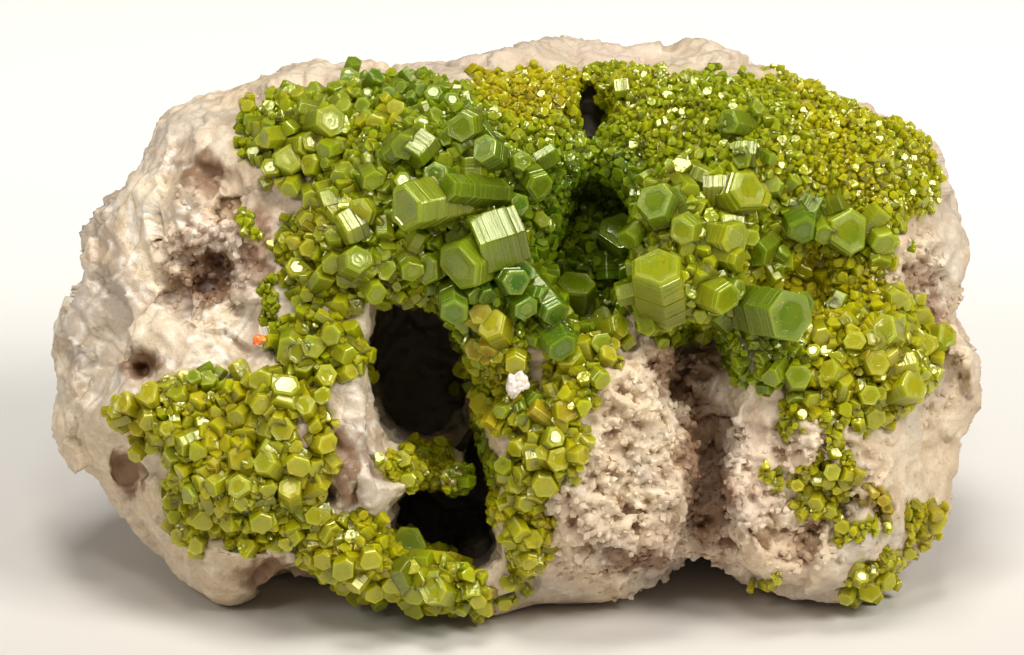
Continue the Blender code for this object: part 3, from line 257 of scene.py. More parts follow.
# Where small crystals cover the rock: across, up, half width, half height, turn, tone, size
CRUST_ZONES = [
    (-11.5, 13.4, 8.4, 4.4, 6, 0.52, 0.8), (-6.0, 14.6, 5.0, 2.6, -6, 0.78, 0.7),
    (-6.0, 9.5, 8.0, 7.0, 0, 0.66, 0.9), (-12.4, 5.6, 4.2, 5.4, 0, 0.42, 0.9),
    (0.5, 5.0, 5.5, 6.5, 0, 0.80, 0.9), (3.4, 1.8, 3.8, 3.0, 0, 0.55, 0.8),
    (5.5, 9.5, 6.0, 6.0, 0, 0.86, 0.7), (6.5, 14.8, 9.5, 4.0, 0, 0.46, 0.55),
    (1.5, 16.4, 5.0, 2.4, 0, 0.22, 0.55), (12.5, 6.5, 6.0, 7.2, 0, 0.52, 0.9),
    (11.6, 2.0, 3.8, 3.4, 0, 0.48, 0.9), (15.0, 14.4, 6.0, 3.6, -8, 0.60, 0.6),
    (22.0, 12.2, 9.4, 5.2, -20, 0.38, 0.5), (26.4, 10.2, 3.0, 3.0, 0, 0.38, 0.6),
    (21.0, 6.6, 6.4, 4.0, 0, 0.52, 0.7), (20.6, 3.4, 5.6, 4.4, 0, 0.20, 0.7),
    (24.5, -1.6, 5.8, 4.6, 10, 0.34, 0.9), (17.6, -0.8, 3.2, 3.8, -20, 0.66, 0.8),
    (23.2, -4.6, 4.6, 3.0, 0, 0.32, 0.8), (-2.2, 0.6, 2.4, 3.4, 20, 0.62, 0.8),
    (-0.6, -3.6, 2.0, 4.0, 10, 0.36, 0.8), (2.6, -7.8, 2.8, 3.6, 10, 0.32, 0.9),
    (4.2, -3.6, 2.0, 1.8, 0, 0.38, 0.8), (0.8, -13.6, 1.7, 4.6, 0, 0.33, 0.75),
    (1.6, -10.0, 2.2, 2.6, 0, 0.33, 0.85), (-13.2, -1.6, 3.2, 2.8, 0, 0.42, 0.9),
    (-19.0, -6.6, 7.4, 3.8, 0, 0.36, 0.95), (-17.6, -10.8, 7.0, 4.8, 0, 0.34, 1.0),
    (-18.6, -13.4, 5.0, 2.1, 0, 0.32, 0.9), (-11.4, -15.0, 4.8, 3.0, -20, 0.34, 0.9),
    (-6.2, -16.9, 4.4, 2.1, -16, 0.38, 0.9), (-6.4, -9.6, 2.8, 1.5, 8, 0.36, 0.6),
    (21.4, -10.4, 2.4, 3.6, -8, 0.32, 0.6), (25.4, -17.2, 2.2, 1.6, 25, 0.34, 0.6),
    (28.4, -13.6, 1.4, 1.3, 0, 0.22, 0.6), (5.8, 5.0, 3.4, 6.0, -8, 0.84, 0.7),
    (-2.4, -10.6, 1.4, 4.6, 0, 0.62, 0.7), (-3.2, -3.0, 1.0, 3.4, 0, 0.5, 0.7),
    (-6.4, 3.2, 4.4, 1.7, 0, 0.50, 0.8), (19.4, -6.8, 1.3, 1.6, -20, 0.40, 0.42),
    (24.4, -14.2, 2.8, 0.7, 18, 0.36, 0.40), (17.4, -10.2, 0.8, 1.1, 0, 0.36, 0.40),
    (21.6, -7.0, 0.9, 1.4, 0, 0.38, 0.42), (25.4, -12.0, 1.0, 0.9, 0, 0.04, 0.42),
    (-16.9, 2.2, 0.9, 1.6, 0, 0.50, 0.6), (-18.0, 7.4, 0.9, 1.2, 0, 0.46, 0.5),
]
# Hollows sharpened on the face: across, up, half width, half height, turn, floor, edge, raggedness.
# The first DARK_HOLLOWS of them are painted near black inside as painted shade.
DARK_HOLLOWS = 5
CARVINGS = [
    (-6.6, -3.0, 3.8, 6.0, 4, -5.0, 0.20, 0.5), (-5.0, -13.5, 3.8, 2.9, 0, -5.0, 0.25, 0.5),
    (-2.2, -10.8, 1.5, 5.4, 3, -3.5, 0.5, 0.4), (-8.7, -0.9, 1.5, 4.3, 2, -3.0, 0.3, 0.2),
    (-2.3, -15.0, 1.7, 2.3, -15, -2.0, 0.4, 0.3), (5.4, 14.4, 1.2, 2.4, 0, 1.5, 0.7, 0.5),
    (-12.7, -11.3, 0.6, 1.7, -8, 9.0, 0.9, 0.1), (-10.6, -11.0, 0.55, 2.1, -8, 9.0, 0.9, 0.1),
    (-25.5, -2.9, 1.3, 1.15, 0, 4.3, 0.8, 0.1), (-26.8, -10.0, 1.1, 1.7, 0, 3.0, 0.6, 0.2),
    (-21.4, 3.3, 2.6, 1.8, 10, 6.3, 0.8, 0.5), (-20.6, 10.5, 1.9, 1.3, 0, 5.6, 0.8, 0.5),
]
# Hollows of the solid that are filled up to their seen depth, in the columns of CARVINGS
FILLINGS = [
    (-18.0, -15.6, 4.6, 0.9, -6, 9.8, 0.5, 0.4),
    (13.3, -3.4, 2.8, 4.6, 0, 8.0, 0.6, 0.5), (13.4, -13.0, 2.4, 4.6, 0, 7.0, 0.6, 0.5),
    (5.8, 5.0, 3.6, 6.4, -8, 4.5, 0.6, 0.5),
]
# Broken flats: across, up, half width, half height, turn, level, edge, slope across, slope up
FLATS = [
    (-26.3, 3.0, 2.5, 3.4, 0, 5.9, 0.12, 0.15, -0.25), (-22.6, 2.6, 1.9, 2.6, 0, 6.6, 0.15, 0.95, 0.1),
    (-28.8, -1.0, 2.2, 5.0, 0, 4.0, 0.15, 0.8, 0.0), (-24.5, 9.5, 3.6, 3.6, 0, 6.0, 0.12, 0.3, -0.8),
    (-19.3, 12.0, 3.0, 3.2, 0, 6.6, 0.15, 0.2, -0.9), (-27.5, 7.0, 2.6, 2.6, 0, 3.6, 0.15, 0.9, -0.5),
    (-25.5, -8.8, 2.8, 2.6, 0, 6.6, 0.15, 0.5, 0.6), (20.5, -12.8, 3.8, 4.0, 0, 9.6, 0.15, -0.1, 0.12),
    (29.0, 4.0, 2.2, 6.0, 0, 4.8, 0.15, -0.9, 0.0), (30.0, -6.0, 2.2, 5.0, 0, 3.2, 0.15, -0.8, 0.3),
    (17.6, -9.5, 2.2, 5.4, 0, 11.0, 0.2, 0.3, 0.05), (8.6, -9.4, 2.4, 3.6, 0, 12.8, 0.2, -0.15, 0.3),
    (25.6, -9.0, 2.2, 4.4, 0, 9.6, 0.15, -0.7, 0.1), (-15.4, 2.4, 2.4, 3.4, 0, 10.2, 0.2, 0.3, -0.1),
]
# Gaps in the cover where rock or darkness shows
BARE_ZONES = [
    (-5.6, -4.6, 4.2, 5.8, 6), (-5.3, -13.4, 3.6, 2.8, 0), (-15.6, 9.6, 2.2, 2.2, 0),
    (-17.2, -8.3, 0.8, 1.4, 0), (-14.2, -7.0, 0.7, 1.5, 0), (-19.2, -4.0, 1.0, 0.9, 0),
    (-17.5, -12.4, 0.9, 0.6, 0), (-12.6, 1.2, 0.6, 0.9, 0), (-16.8, 8.2, 1.6, 2.0, 0),
    (-8.6, -9.2, 1.2, 6.0, 0), (-20.5, -15.2, 1.2, 0.9, 0), (5.5, 14.6, 1.0, 2.0, 0),
    (-2.3, -15.0, 1.9, 2.5, -15), (-9.0, -0.6, 1.6, 4.6, 2), (-11.6, -11.2, 1.8, 2.0, 0),
]
# Where the cover is only scattered spots
SPARSE_ZONES = [(22.0, -11.4, 6.4, 6.6, 0)]
# The shelf between the vugs, which keeps its cover inside a gap
SHELF = (-6.4, -9.6, 3.0, 1.7, 8)
# Smooth broken quartz, porous sugary quartz and brown stains on the face
GLASSY_ZONES = [
    (-28.0, 0.5, 5.5, 9.5, 8), (-25.2, 8.8, 5.0, 6.0, 0), (-10.2, -6.4, 2.0, 7.0, 3),
    (-23.5, 0.0, 6.0, 11.0, 0), (-17.8, 1.0, 3.6, 4.6, 0),
]
POROUS_ZONES = [
    (10.6, -6.0, 5.4, 10.0, 0), (12.6, -14.0, 5.0, 5.0, 0), (6.5, -13.0, 6.0, 7.0, 0),
    (20.0, -11.0, 7.0, 7.0, 0), (-21.0, 5.0, 4.6, 5.6, 0), (28.5, 0.0, 3.5, 9.0, 0),
]
STAIN_ZONES = [
    (-21.6, 3.6, 4.0, 3.0, 10), (-21.4, 10.6, 2.6, 2.4, 0), (-25.6, -2.6, 2.4, 2.0, 0),
    (-26.8, -10.4, 1.8, 2.6, 0), (-13.4, -1.6, 1.2, 4.0, 0), (-11.5, -9.6, 1.2, 5.0, 4),
    (12.2, -2.2, 4.2, 5.0, 0), (13.4, -10.0, 3.0, 9.0, 0), (8.6, -16.0, 3.4, 2.0, 0),
    (-17.6, 6.0, 1.8, 4.6, 0), (-16.4, -17.4, 4.4, 1.8, 0), (25.4, -12.2, 1.8, 1.4, 0),
]


def length_property(name, description, default):
    """A length that a user can change, in metres."""
    return FloatProperty(name=name, description=description, default=default, unit="LENGTH")


def colour_property(name, description, default):
    """A colour that a user can change."""
    return FloatVectorProperty(
        name=name, description=description, default=default, subtype="COLOR", size=3
    )


class RockSettings(PropertyGroup):
    """Relief and colours of the quartz"""

    grid: length_property("Grid", "Mesh size of the rock", 0.00041)
    lumps: length_property("Lumps", "Height of the rock's lumps", 0.00032)
    breaks: FloatProperty(name="Breaks", description="Slope of the broken facets", default=0.80)
    sugar: length_property("Sugar", "Height of the sugary grains", 0.00020)
    walls: length_property("Walls", "Height of the thin walls", 0.00085)
    pits: length_property("Pits", "Depth of the small pits", 0.0008)
    pale: colour_property("Pale quartz", "Clean quartz", (0.83, 0.70, 0.51))
    body: colour_property("Body quartz", "Most of the rock", (0.64, 0.49, 0.32))
    stain: colour_property("Stain", "Iron stain in the hollows", (0.20, 0.088, 0.030))


class CrystalSettings(PropertyGroup):
    """Growth ribs of the leading crystals, and the colours of all crystals"""

    rib_spacing: length_property("Rib spacing", "Between growth ribs", 0.00019)
    rib_depth: FloatProperty(
        name="Rib depth", description="Share of the radius", default=0.034, subtype="FACTOR"
    )
    satellites: IntProperty(
        name="Satellites", description="Small crystals round a leading one", default=2, min=0
    )
    ochre: colour_property("Ochre", "Brownest crystals", (0.38, 0.25, 0.012))
    yellow: colour_property("Yellow-green", "Yellowest crystals", (0.43, 0.375, 0.004))
    lime: colour_property("Lime", "Middle crystals", (0.25, 0.295, 0.003))
    deep: colour_property("Deep green", "Darkest crystals", (0.04, 0.135, 0.004))


class DruseSettings(PropertyGroup):
    """Sizes of what is scattered over the rock"""

    spacing: length_property("Spacing", "Between crystals", 0.00052)
    size: length_property("Size", "Crystal radius", 0.00054)
    fine_spacing: length_property("Fine spacing", "Between fine crystals", 0.00033)
    fine_size: length_property("Fine size", "Radius of the fine crystals", 0.00040)
    sugar_spacing: length_property("Sugar spacing", "Between quartz grains", 0.00052)
    sugar_size: length_property("Sugar size", "Radius of the quartz grains", 0.00022)


class StageSettings(PropertyGroup):
    """Camera, floor and light"""

    distance: length_property("Distance", "From the camera to the face", EYE_DISTANCE)
    view_width: length_property("View width", "Width seen at the face", 0.07168)
    # The floor's colour at the front, where the paper is painted darker as painted shade
    floor: colour_property("Floor", "Floor colour", (0.63, 0.60, 0.56))
    sky: FloatProperty(name="Sky", description="Light from all round", default=0.15, min=0.0)
    brightness: FloatProperty(
        name="Brightness", description="Radiance of the softboxes", default=18.5, min=0.0
    )


def face_point(across, up, out):
    """A place on the leaning face, in millimetres of the world frame."""
    return FACE_CENTRE + ACROSS * across + UP * up + OUT * out


def face_places(points):
    """(across, up, out) columns of an array of points in millimetres."""
    offset = points - np.array(FACE_CENTRE)
    return offset @ np.array(ACROSS), offset @ np.array(UP), offset @ np.array(OUT)


def smooth(value):
    """0 to 1 with soft ends, for numbers and arrays."""
    value = np.clip(value, 0.0, 1.0)
    return value * value * (3 - 2 * value)


def oval_nearness(across, up, zone):
    """1 in the middle of an oval, 0 on its edge, negative outside."""
    angle = math.radians(zone[4])
    x, y = across - zone[0], up - zone[1]
    a = (x * math.cos(angle) + y * math.sin(angle)) / zone[2]
    b = (y * math.cos(angle) - x * math.sin(angle)) / zone[3]
    return 1 - np.hypot(a, b)


def zone_cover(across, up, zones, edge):
    """How far each place lies in any of the zones, 0 to 1."""
    cover = np.zeros(len(across))
    for zone in zones:
        cover = np.maximum(cover, smooth(oval_nearness(across, up, zone) / edge))
    return cover


def zone_blend(across, up, zones, column):
    """The zones' own values mixed by how near each place is to their middles."""
    total, weights = np.zeros(len(across)), np.full(len(across), 1e-6)
    for zone in zones:
        weight = np.clip(oval_nearness(across, up, zone) + 0.25, 0, None) ** 2
        total += weight * zone[column]
        weights += weight
    return total / weights


def link(name, data):
    """A new object in the scene."""
    obj = bpy.data.objects.new(name, data)
    bpy.context.scene.collection.objects.link(obj)
    return obj


def mesh_of(bm, name="draft"):
    """The finished bmesh as a mesh."""
    mesh = bpy.data.meshes.new(name)
    bm.to_mesh(mesh)
    bm.free()
    return mesh


def plain_mesh(obj):
    """The object's evaluated mesh as a plain one; the object itself goes."""
    bpy.context.view_layer.update()
    mesh = bpy.data.meshes.new_from_object(obj.evaluated_get(bpy.context.evaluated_depsgraph_get()))
    bpy.data.objects.remove(obj, do_unlink=True)
    return mesh


def set_attribute(mesh, name, values):
    """Writes one number for each vertex, for the material or the scatter tree to read."""
    attribute = mesh.attributes.get(name) or mesh.attributes.new(name, "FLOAT", "POINT")
    attribute.data.foreach_set("value", np.asarray(values, dtype=np.float32))


def get_attribute(mesh, name):
    """The numbers of an attribute, one for each vertex."""
    values = np.zeros(len(mesh.vertices), dtype=np.float32)
    mesh.attributes[name].data.foreach_get("value", values)
    return values


def vertex_array(mesh, key="co"):
    """The vertices' places, or their normals, as rows of an array."""
    values = np.zeros(len(mesh.vertices) * 3, dtype=np.float32)
    source = mesh.vertices if key == "co" else mesh.vertex_normals
    source.foreach_get("co" if key == "co" else "vector", values)
    return values.reshape(-1, 3).astype(float)


def move_vertices(mesh, places):
    """Puts the vertices at places given in millimetres."""
    mesh.vertices.foreach_set("co", (places * MM).astype(np.float32).ravel())
    mesh.update()


def surface_tree(mesh):
    """The mesh in millimetres, ready for finding where a line meets it."""
    places = [Vector(place) for place in vertex_array(mesh) / MM]
    return BVHTree.FromPolygons(places, [tuple(polygon.vertices) for polygon in mesh.polygons])


def merged_node(name):
    """A copy of a node's mesh with its loose triangles joined."""
    mesh = frame["nodes"][name].data.copy()
    bm = bmesh.new()
    bm.from_mesh(mesh)
    bmesh.ops.remove_doubles(bm, verts=bm.verts, dist=1e-6)
    bm.to_mesh(mesh)
    bm.free()
    return mesh


def gridded(name, mesh, grid, rounds=0):
    """The mesh rebuilt on an even grid and melted by rounds of smoothing."""
    draft = link(name, mesh)
    remesh = draft.modifiers.new("Grid", "REMESH")
    remesh.mode = "VOXEL"
    remesh.voxel_size = grid
    if rounds:
        melt = draft.modifiers.new("Melt", "SMOOTH")
        melt.factor = 0.5
        melt.iterations = rounds
    return plain_mesh(draft)


def finish_piece(obj, material, nodes=()):
    """Gives a piece its material and its place in the frame."""
    obj.data.materials.clear()
    obj.data.materials.append(material)
    if nodes:
        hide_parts(*nodes)
    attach(obj, "root")


class Wire:
    """A number socket of a material that takes part in plain arithmetic."""

    def __init__(self, finish, socket):
        self.finish = finish
        self.socket = socket

    def join(self, operation, first, second=None):
        sockets = {0: first} if second is None else {0: first, 1: second}
        return self.finish.node("ShaderNodeMath", {"operation": operation}, sockets, 0)

    def __add__(self, other):
        return self.join("ADD", self, other)

    def __radd__(self, other):
        return self.join("ADD", other, self)

    def __sub__(self, other):
        return self.join("SUBTRACT", self, other)

    def __rsub__(self, other):
        return self.join("SUBTRACT", other, self)

    def __mul__(self, other):
        return self.join("MULTIPLY", self, other)

    def __rmul__(self, other):
        return self.join("MULTIPLY", other, self)

    def clamped(self):
        return self.finish.node("ShaderNodeClamp", {}, {"Value": self, "Min": 0.0, "Max": 1.0}, 0)


class Finish:
    """A material with one Principled shader, built up node by node."""

    def __init__(self, name, constants):
        self.material = bpy.data.materials.new(name)
        self.material.use_nodes = True
        self.tree = self.material.node_tree
        self.shader = self.tree.nodes["Principled BSDF"]
        for socket, value in constants.items():
            self.shader.inputs[socket].default_value = value
        self.place = self.node("ShaderNodeTexCoord", {}, {}, "Object")

    def feed(self, socket, value):
        if isinstance(value, Wire):
            self.tree.links.new(value.socket, socket)
        elif isinstance(value, tuple) and len(value) == 3 and socket.type == "RGBA":
            socket.default_value = (*value, 1.0)
        else:
            socket.default_value = value

    def node(self, kind, settings, sockets, output):
        """Adds a node: its settings first, then its sockets' values or links."""
        node = self.tree.nodes.new(kind)
        for key, value in settings.items():
            if key == "stops":
                ramp = node.color_ramp.elements
                for position, _ in value[2:]:
                    ramp.new(position)
                for element, (position, colour) in zip(ramp, value):
                    element.position = position
                    element.color = (*colour, 1.0)
            else:
                setattr(node, key, value)
        for key, value in sockets.items():
            self.feed(node.inputs[key], value)
        return Wire(self, node.outputs[output])

    def attribute(self, name):
        return self.node("ShaderNodeAttribute", {"attribute_name": name}, {}, "Fac")

    def noise(self, scale, detail=3.0, roughness=0.6):
        sockets = {"Vector": self.place, "Scale": scale, "Detail": detail, "Roughness": roughness}
        return self.node("ShaderNodeTexNoise", {}, sockets, 0)

    def warped(self, reach):
        """The place pushed about by soft noise."""
        sockets = {"Vector": self.place, "Scale": 260.0, "Detail": 2.0}
        push = self.node("ShaderNodeTexNoise", {}, sockets, "Color")
        sockets = {0: push, 1: (-0.5, -0.5, -0.5)}
        centred = self.node("ShaderNodeVectorMath", {"operation": "ADD"}, sockets, 0)
        scaled = self.node("ShaderNodeVectorMath", {"operation": "SCALE"}, {0: centred, 3: reach}, 0)
        return self.node("ShaderNodeVectorMath", {"operation": "ADD"}, {0: self.place, 1: scaled}, 0)

    def line_noise(self, along):
        """Noise along one line only."""
        sockets = {"W": along, "Scale": 1.0, "Detail": 2.0, "Roughness": 0.6}
        return self.node("ShaderNodeTexNoise", {"noise_dimensions": "1D"}, sockets, 0)

    def cells(self, scale, feature="F1"):
        sockets = {"Vector": self.place, "Scale": scale}
        return self.node("ShaderNodeTexVoronoi", {"feature": feature}, sockets, 0)

    def cell_value(self, scale):
        """A value of its own for each cell."""
        sockets = {"Vector": self.place, "Scale": scale}
        colour = self.node("ShaderNodeTexVoronoi", {}, sockets, "Color")
        return self.node("ShaderNodeSeparateColor", {}, {0: colour}, 0)

    def ramp(self, factor, stops):
        return self.node("ShaderNodeValToRGB", {"stops": sorted(stops)}, {"Fac": factor}, 0)

    def step(self, value, low, high):
        """0 below low, 1 above high, soft between."""
        settings = {"interpolation_type": "SMOOTHSTEP"}
        sockets = {"Value": value, "From Min": low, "From Max": high}
        return self.node("ShaderNodeMapRange", settings, sockets, 0)

    def mix(self, factor, first, second):
        """Two colours mixed by a factor."""
        settings = {"data_type": "RGBA", "clamp_factor": True}
        return self.node("ShaderNodeMix", settings, {0: factor, 6: first, 7: second}, 2)

    def bump(self, height, strength, distance, normal=None):
        sockets = {"Height": height, "Strength": strength, "Distance": distance}
        if normal is not None:
            sockets["Normal"] = normal
        return self.node("ShaderNodeBump", {}, sockets, 0)

    def set(self, **inputs):
        names = {"colour": "Base Color", "roughness": "Roughness", "normal": "Normal"}
        for key, value in inputs.items():
            self.feed(self.shader.inputs[names[key]], value)


# Tones mixed into the quartz by its material
ROCK_TONES = {
    "milky_and_highlight": (0.80, 0.74, 0.68),
    "grey": (0.44, 0.40, 0.37),
    "bright grit": (0.88, 0.80, 0.68),
    "dark grit": (0.34, 0.24, 0.15),
    "ashen": (0.47, 0.43, 0.40),
    "rosy": (0.72, 0.54, 0.42),
    "painted_top_shade": (0.40, 0.34, 0.28),
    "crack": (0.30, 0.21, 0.15),
    "tan facet": (0.66, 0.55, 0.43),
    "brown facet": (0.36, 0.24, 0.15),
    "vein": (0.88, 0.82, 0.74),
    "pit": (0.28, 0.145, 0.062),
    "hollow": (0.25, 0.125, 0.050),
    "yellow film": (0.50, 0.44, 0.12),
    "dark root": (0.06, 0.06, 0.006),
    "green root": (0.13, 0.13, 0.010),
    "fine root": (0.40, 0.37, 0.008),
    "cave": (0.075, 0.058, 0.036),
}
# Tones mixed into the crystals by theirs
GREEN_TONES = {
    "milky_and_highlight": (0.56, 0.60, 0.03),
    "speck": (0.58, 0.60, 0.05),
    "shade": (0.05, 0.06, 0.004),
    "foot": (0.085, 0.07, 0.004),
    "line": (0.42, 0.46, 0.02),
}


def quartz_finish(name, settings):
    """Pinkish beige quartz: mottled and stained brown; painted shade: warm brown in hollows and over the
    pits' brown, darker on top, dark green under the crust and near black deep down.
    """
    tones = ROCK_TONES
    finish = Finish(name, {"IOR": 1.54})
    patches = finish.noise(170, 3, 0.6)
    mottle = finish.noise(750, 3, 0.65)
    grit = finish.noise(3600, 2, 0.7)
    hollow = finish.attribute("hollow")
    cave = finish.attribute("cave")
    stain = finish.attribute("stain")
    crust = finish.attribute("crust")
    glassy = finish.attribute("glassy")
    pale, body, brown = (tuple(c) for c in (settings.pale, settings.body, settings.stain))
    colour = finish.mix(finish.step(patches + (mottle - 0.5) * 0.7, 0.32, 0.72), body, pale)
    colour = finish.mix(finish.step(mottle, 0.60, 0.78) * 0.45, colour, tones["milky_and_highlight"])
    colour = finish.mix(finish.step(finish.noise(260, 3), 0.56, 0.70) * 0.35, colour, tones["grey"])
    colour = finish.mix(finish.step(grit, 0.58, 0.72) * 0.45, colour, tones["bright grit"])
    colour = finish.mix(finish.step(grit, 0.44, 0.30) * 0.40, colour, tones["dark grit"])
    colour = finish.mix(finish.step(finish.noise(120, 2), 0.50, 0.66) * 0.40, colour, tones["ashen"])
    colour = finish.mix(finish.step(finish.noise(95, 2), 0.54, 0.66) * 0.45, colour, tones["rosy"])
    # Painted shade: the rock darker at its top, above about 31 mm, where the overhead softbox is strongest
    level = finish.node("ShaderNodeSeparateXYZ", {}, {0: finish.place}, 2)
    colour = finish.mix(finish.step(level, 0.0305, 0.0355) * 0.42, colour, tones["painted_top_shade"])

    finish.place = finish.warped(0.0022)
    seam = finish.cells(230, "DISTANCE_TO_EDGE")
    crack = 1 - finish.step(seam, 0.0, 0.024)
    colour = finish.mix(crack * (0.10 + glassy * 0.35), colour, tones["crack"])
    facet = finish.cell_value(330)
    colour = finish.mix(glassy * finish.step(facet, 0.35, 0.45) * 0.35, colour, tones["tan facet"])
    dark_facet = finish.step(facet, 0.70, 0.90) * (0.06 + glassy * 0.34)
    colour = finish.mix(dark_facet, colour, tones["brown facet"])
    vein = finish.step(seam, 0.03, 0.06) * (1 - finish.step(seam, 0.09, 0.16))
    colour = finish.mix(glassy * vein * finish.step(mottle, 0.42, 0.58) * 0.6, colour, tones["vein"])

    # Pits: their brown stain, with painted shade over it
    pit_stain_and_shade = finish.step(finish.attribute("pit") + (mottle - 0.5) * 0.5, 0.15, 0.9)
    colour = finish.mix(pit_stain_and_shade * 0.72, colour, tones["pit"])
    # Brown stain of the stain zones, reaching further into the shaded hollows
    rust = finish.step(stain + (mottle - 0.5) * 0.9 + hollow * 0.35, 0.42, 1.0)
    colour = finish.mix(rust * 0.82, colour, brown)
    # Painted shade, warm brown, where near rock hides the sky
    colour = finish.mix(finish.step(hollow, 0.30, 0.85) * 0.62, colour, tones["hollow"])

    film = finish.step(crust + (patches - 0.5) * 0.3, 0.02, 0.25) * finish.step(mottle, 0.35, 0.6)
    colour = finish.mix(film * 0.55, colour, tones["yellow film"])
    # Under the crust the rock is dark green: the crust's own green, with painted shade in the gaps between
    # its crystals; paler under fine crystals
    root = finish.mix(finish.step(mottle, 0.4, 0.62), tones["dark root"], tones["green root"])
    fine = finish.step(0.82 - finish.attribute("size"), 0.0, 0.24)
    root = finish.mix(fine * finish.step(mottle, 0.30, 0.5) * 0.9, root, tones["fine root"])
    colour = finish.mix(finish.step(crust + (mottle - 0.5) * 0.5, 0.30, 0.60) * 0.97, colour, root)
    # Painted shade: near black deep in the caves, where far rock hides the sky
    colour = finish.mix(finish.step(cave, 0.38, 0.85) * 0.94, colour, tones["cave"])
    rough = 0.42 + grit * 0.3 - glassy * 0.24
    height = grit * 0.5 + mottle * 0.5
    finish.set(colour=colour, roughness=rough, normal=finish.bump(height, 0.75, 0.00016))
    return finish.material


def green_finish(name, settings, grown):
    """Resinous green crystal: tone by crystal, hazy patches, painted highlight on the edges, painted shade at
    the foot, growth lines and steps.
    """
    constants = {"IOR": 1.85 if grown else 1.64, "Subsurface Weight": 0.9, "Subsurface Scale": 0.0014}
    constants["Subsurface Radius"] = (0.8, 1.0, 0.1)
    constants["Specular Tint"] = (0.96, 1.0, 0.62, 1.0)
    finish = Finish(name, constants)
    tone = finish.attribute("tone")
    edge = finish.attribute("edge")
    along = finish.attribute("along")
    haze = finish.noise(1100, 2, 0.65)
    speck = finish.noise(6500, 2, 0.7)
    drift = finish.noise(280, 2, 0.5)
    shade = (tone + (haze - 0.5) * 0.34 + (drift - 0.5) * 0.36 - along * 0.05).clamped()
    ochre, yellow, lime, deep = (
        tuple(c) for c in (settings.ochre, settings.yellow, settings.lime, settings.deep)
    )
    middle = tuple((a + b) / 2 for a, b in zip(lime, deep))
    stops = [(0.05, ochre), (0.24, yellow), (0.46, lime), (0.68, middle), (0.92, deep)]
    colour = finish.ramp(shade, stops)
    # Painted highlight: edges and rims of the crystals paler, towards a milky yellow-green
    milky_and_highlight = finish.mix(0.5, colour, GREEN_TONES["milky_and_highlight"])
    colour = finish.mix(edge * 0.30, colour, milky_and_highlight)
    bright = finish.step(speck + haze * 0.4, 0.80, 0.98)
    colour = finish.mix(bright * 0.5, colour, GREEN_TONES["speck"])
    colour = finish.mix(finish.step(haze, 0.40, 0.26) * 0.45, colour, GREEN_TONES["shade"])
    # Painted shade towards each crystal's foot, among its neighbours, in dark olive brown
    colour = finish.mix((1 - along) * 0.64, colour, GREEN_TONES["foot"])
    rough = 0.04 + haze * 0.10 + finish.step(speck, 0.5, 0.8) * 0.12
    height = speck * 0.3 + haze * 0.4
    if not grown:
        height = height + finish.cells(4300) * finish.step(haze, 0.42, 0.60) * 2.2
    normal = finish.bump(height, 0.35, 0.00006)
    if grown:
        lines = finish.line_noise(finish.attribute("rise") * 9.0 + tone * 50.0)
        steps = finish.line_noise(finish.attribute("ring") * 3.0 + tone * 90.0)
        normal = finish.bump(lines + finish.step(steps, 0.44, 0.56) * 0.1, 0.55, 0.00007, normal)
        colour = finish.mix(finish.step(lines, 0.55, 0.7) * 0.22, colour, GREEN_TONES["line"])
    finish.set(colour=colour, roughness=rough, normal=normal)
    return finish.material


def pale_finish(name, colour, mottle_colour, constants):
    """A small sugary grain of one mottled colour."""
    finish = Finish(name, constants)
    haze = finish.noise(1800, 4, 0.65)
    grit = finish.noise(6000, 3, 0.6)
    mixed = finish.mix(finish.step(haze, 0.35, 0.7), colour, mottle_colour)
    normal = finish.bump(grit * 0.5 + haze * 0.5, 0.6, 0.00008)
    finish.set(colour=mixed, roughness=0.2 + haze * 0.3, normal=normal)
    return finish.material


def floor_finish(settings):
    """Pale seamless paper, painted darker and creamier towards the front as painted shade."""
    finish = Finish("stage_paper", {"Specular IOR Level": 0.1})
    depth = finish.node("ShaderNodeSeparateXYZ", {}, {0: finish.place}, 1)
    fibre = finish.noise(900, 3)
    white, shaded_cream = (1.0, 0.995, 0.97), tuple(settings.floor)
    colour = finish.mix(finish.step(depth, -0.040, 0.110), shaded_cream, white)
    colour = finish.mix(fibre * 0.02, colour, (0.80, 0.78, 0.74))
    finish.set(colour=colour, roughness=0.7 + fibre * 0.05)
    return finish.material


# Relief of the rock: cells or waves per millimetre, and their share of the height
BREAK_SCALES = ((0.19, 1.0), (0.55, 0.55))
WALL_SCALES = ((0.62, 1.15), (1.35, 0.55), (3.0, 0.22))
# How far a broken facet may go below and above the surface, in millimetres
BREAK_RANGE = (-1.3, 0.35)
# Sugary grains per millimetre, the width of the seams between them and their depth
GRAIN_SCALE, SEAM_WIDTH, SEAM_DEPTH = 1.35, 0.10, 0.05
# How thick the thin walls are, as a share of their wave
WALL_WIDTH = 0.20
# Right of this place the walls are drawn out upwards into columns; each side's share of it
DRAWN_FROM = 16
DRAWN_LEFT, DRAWN_RIGHT = 0.15, 0.72


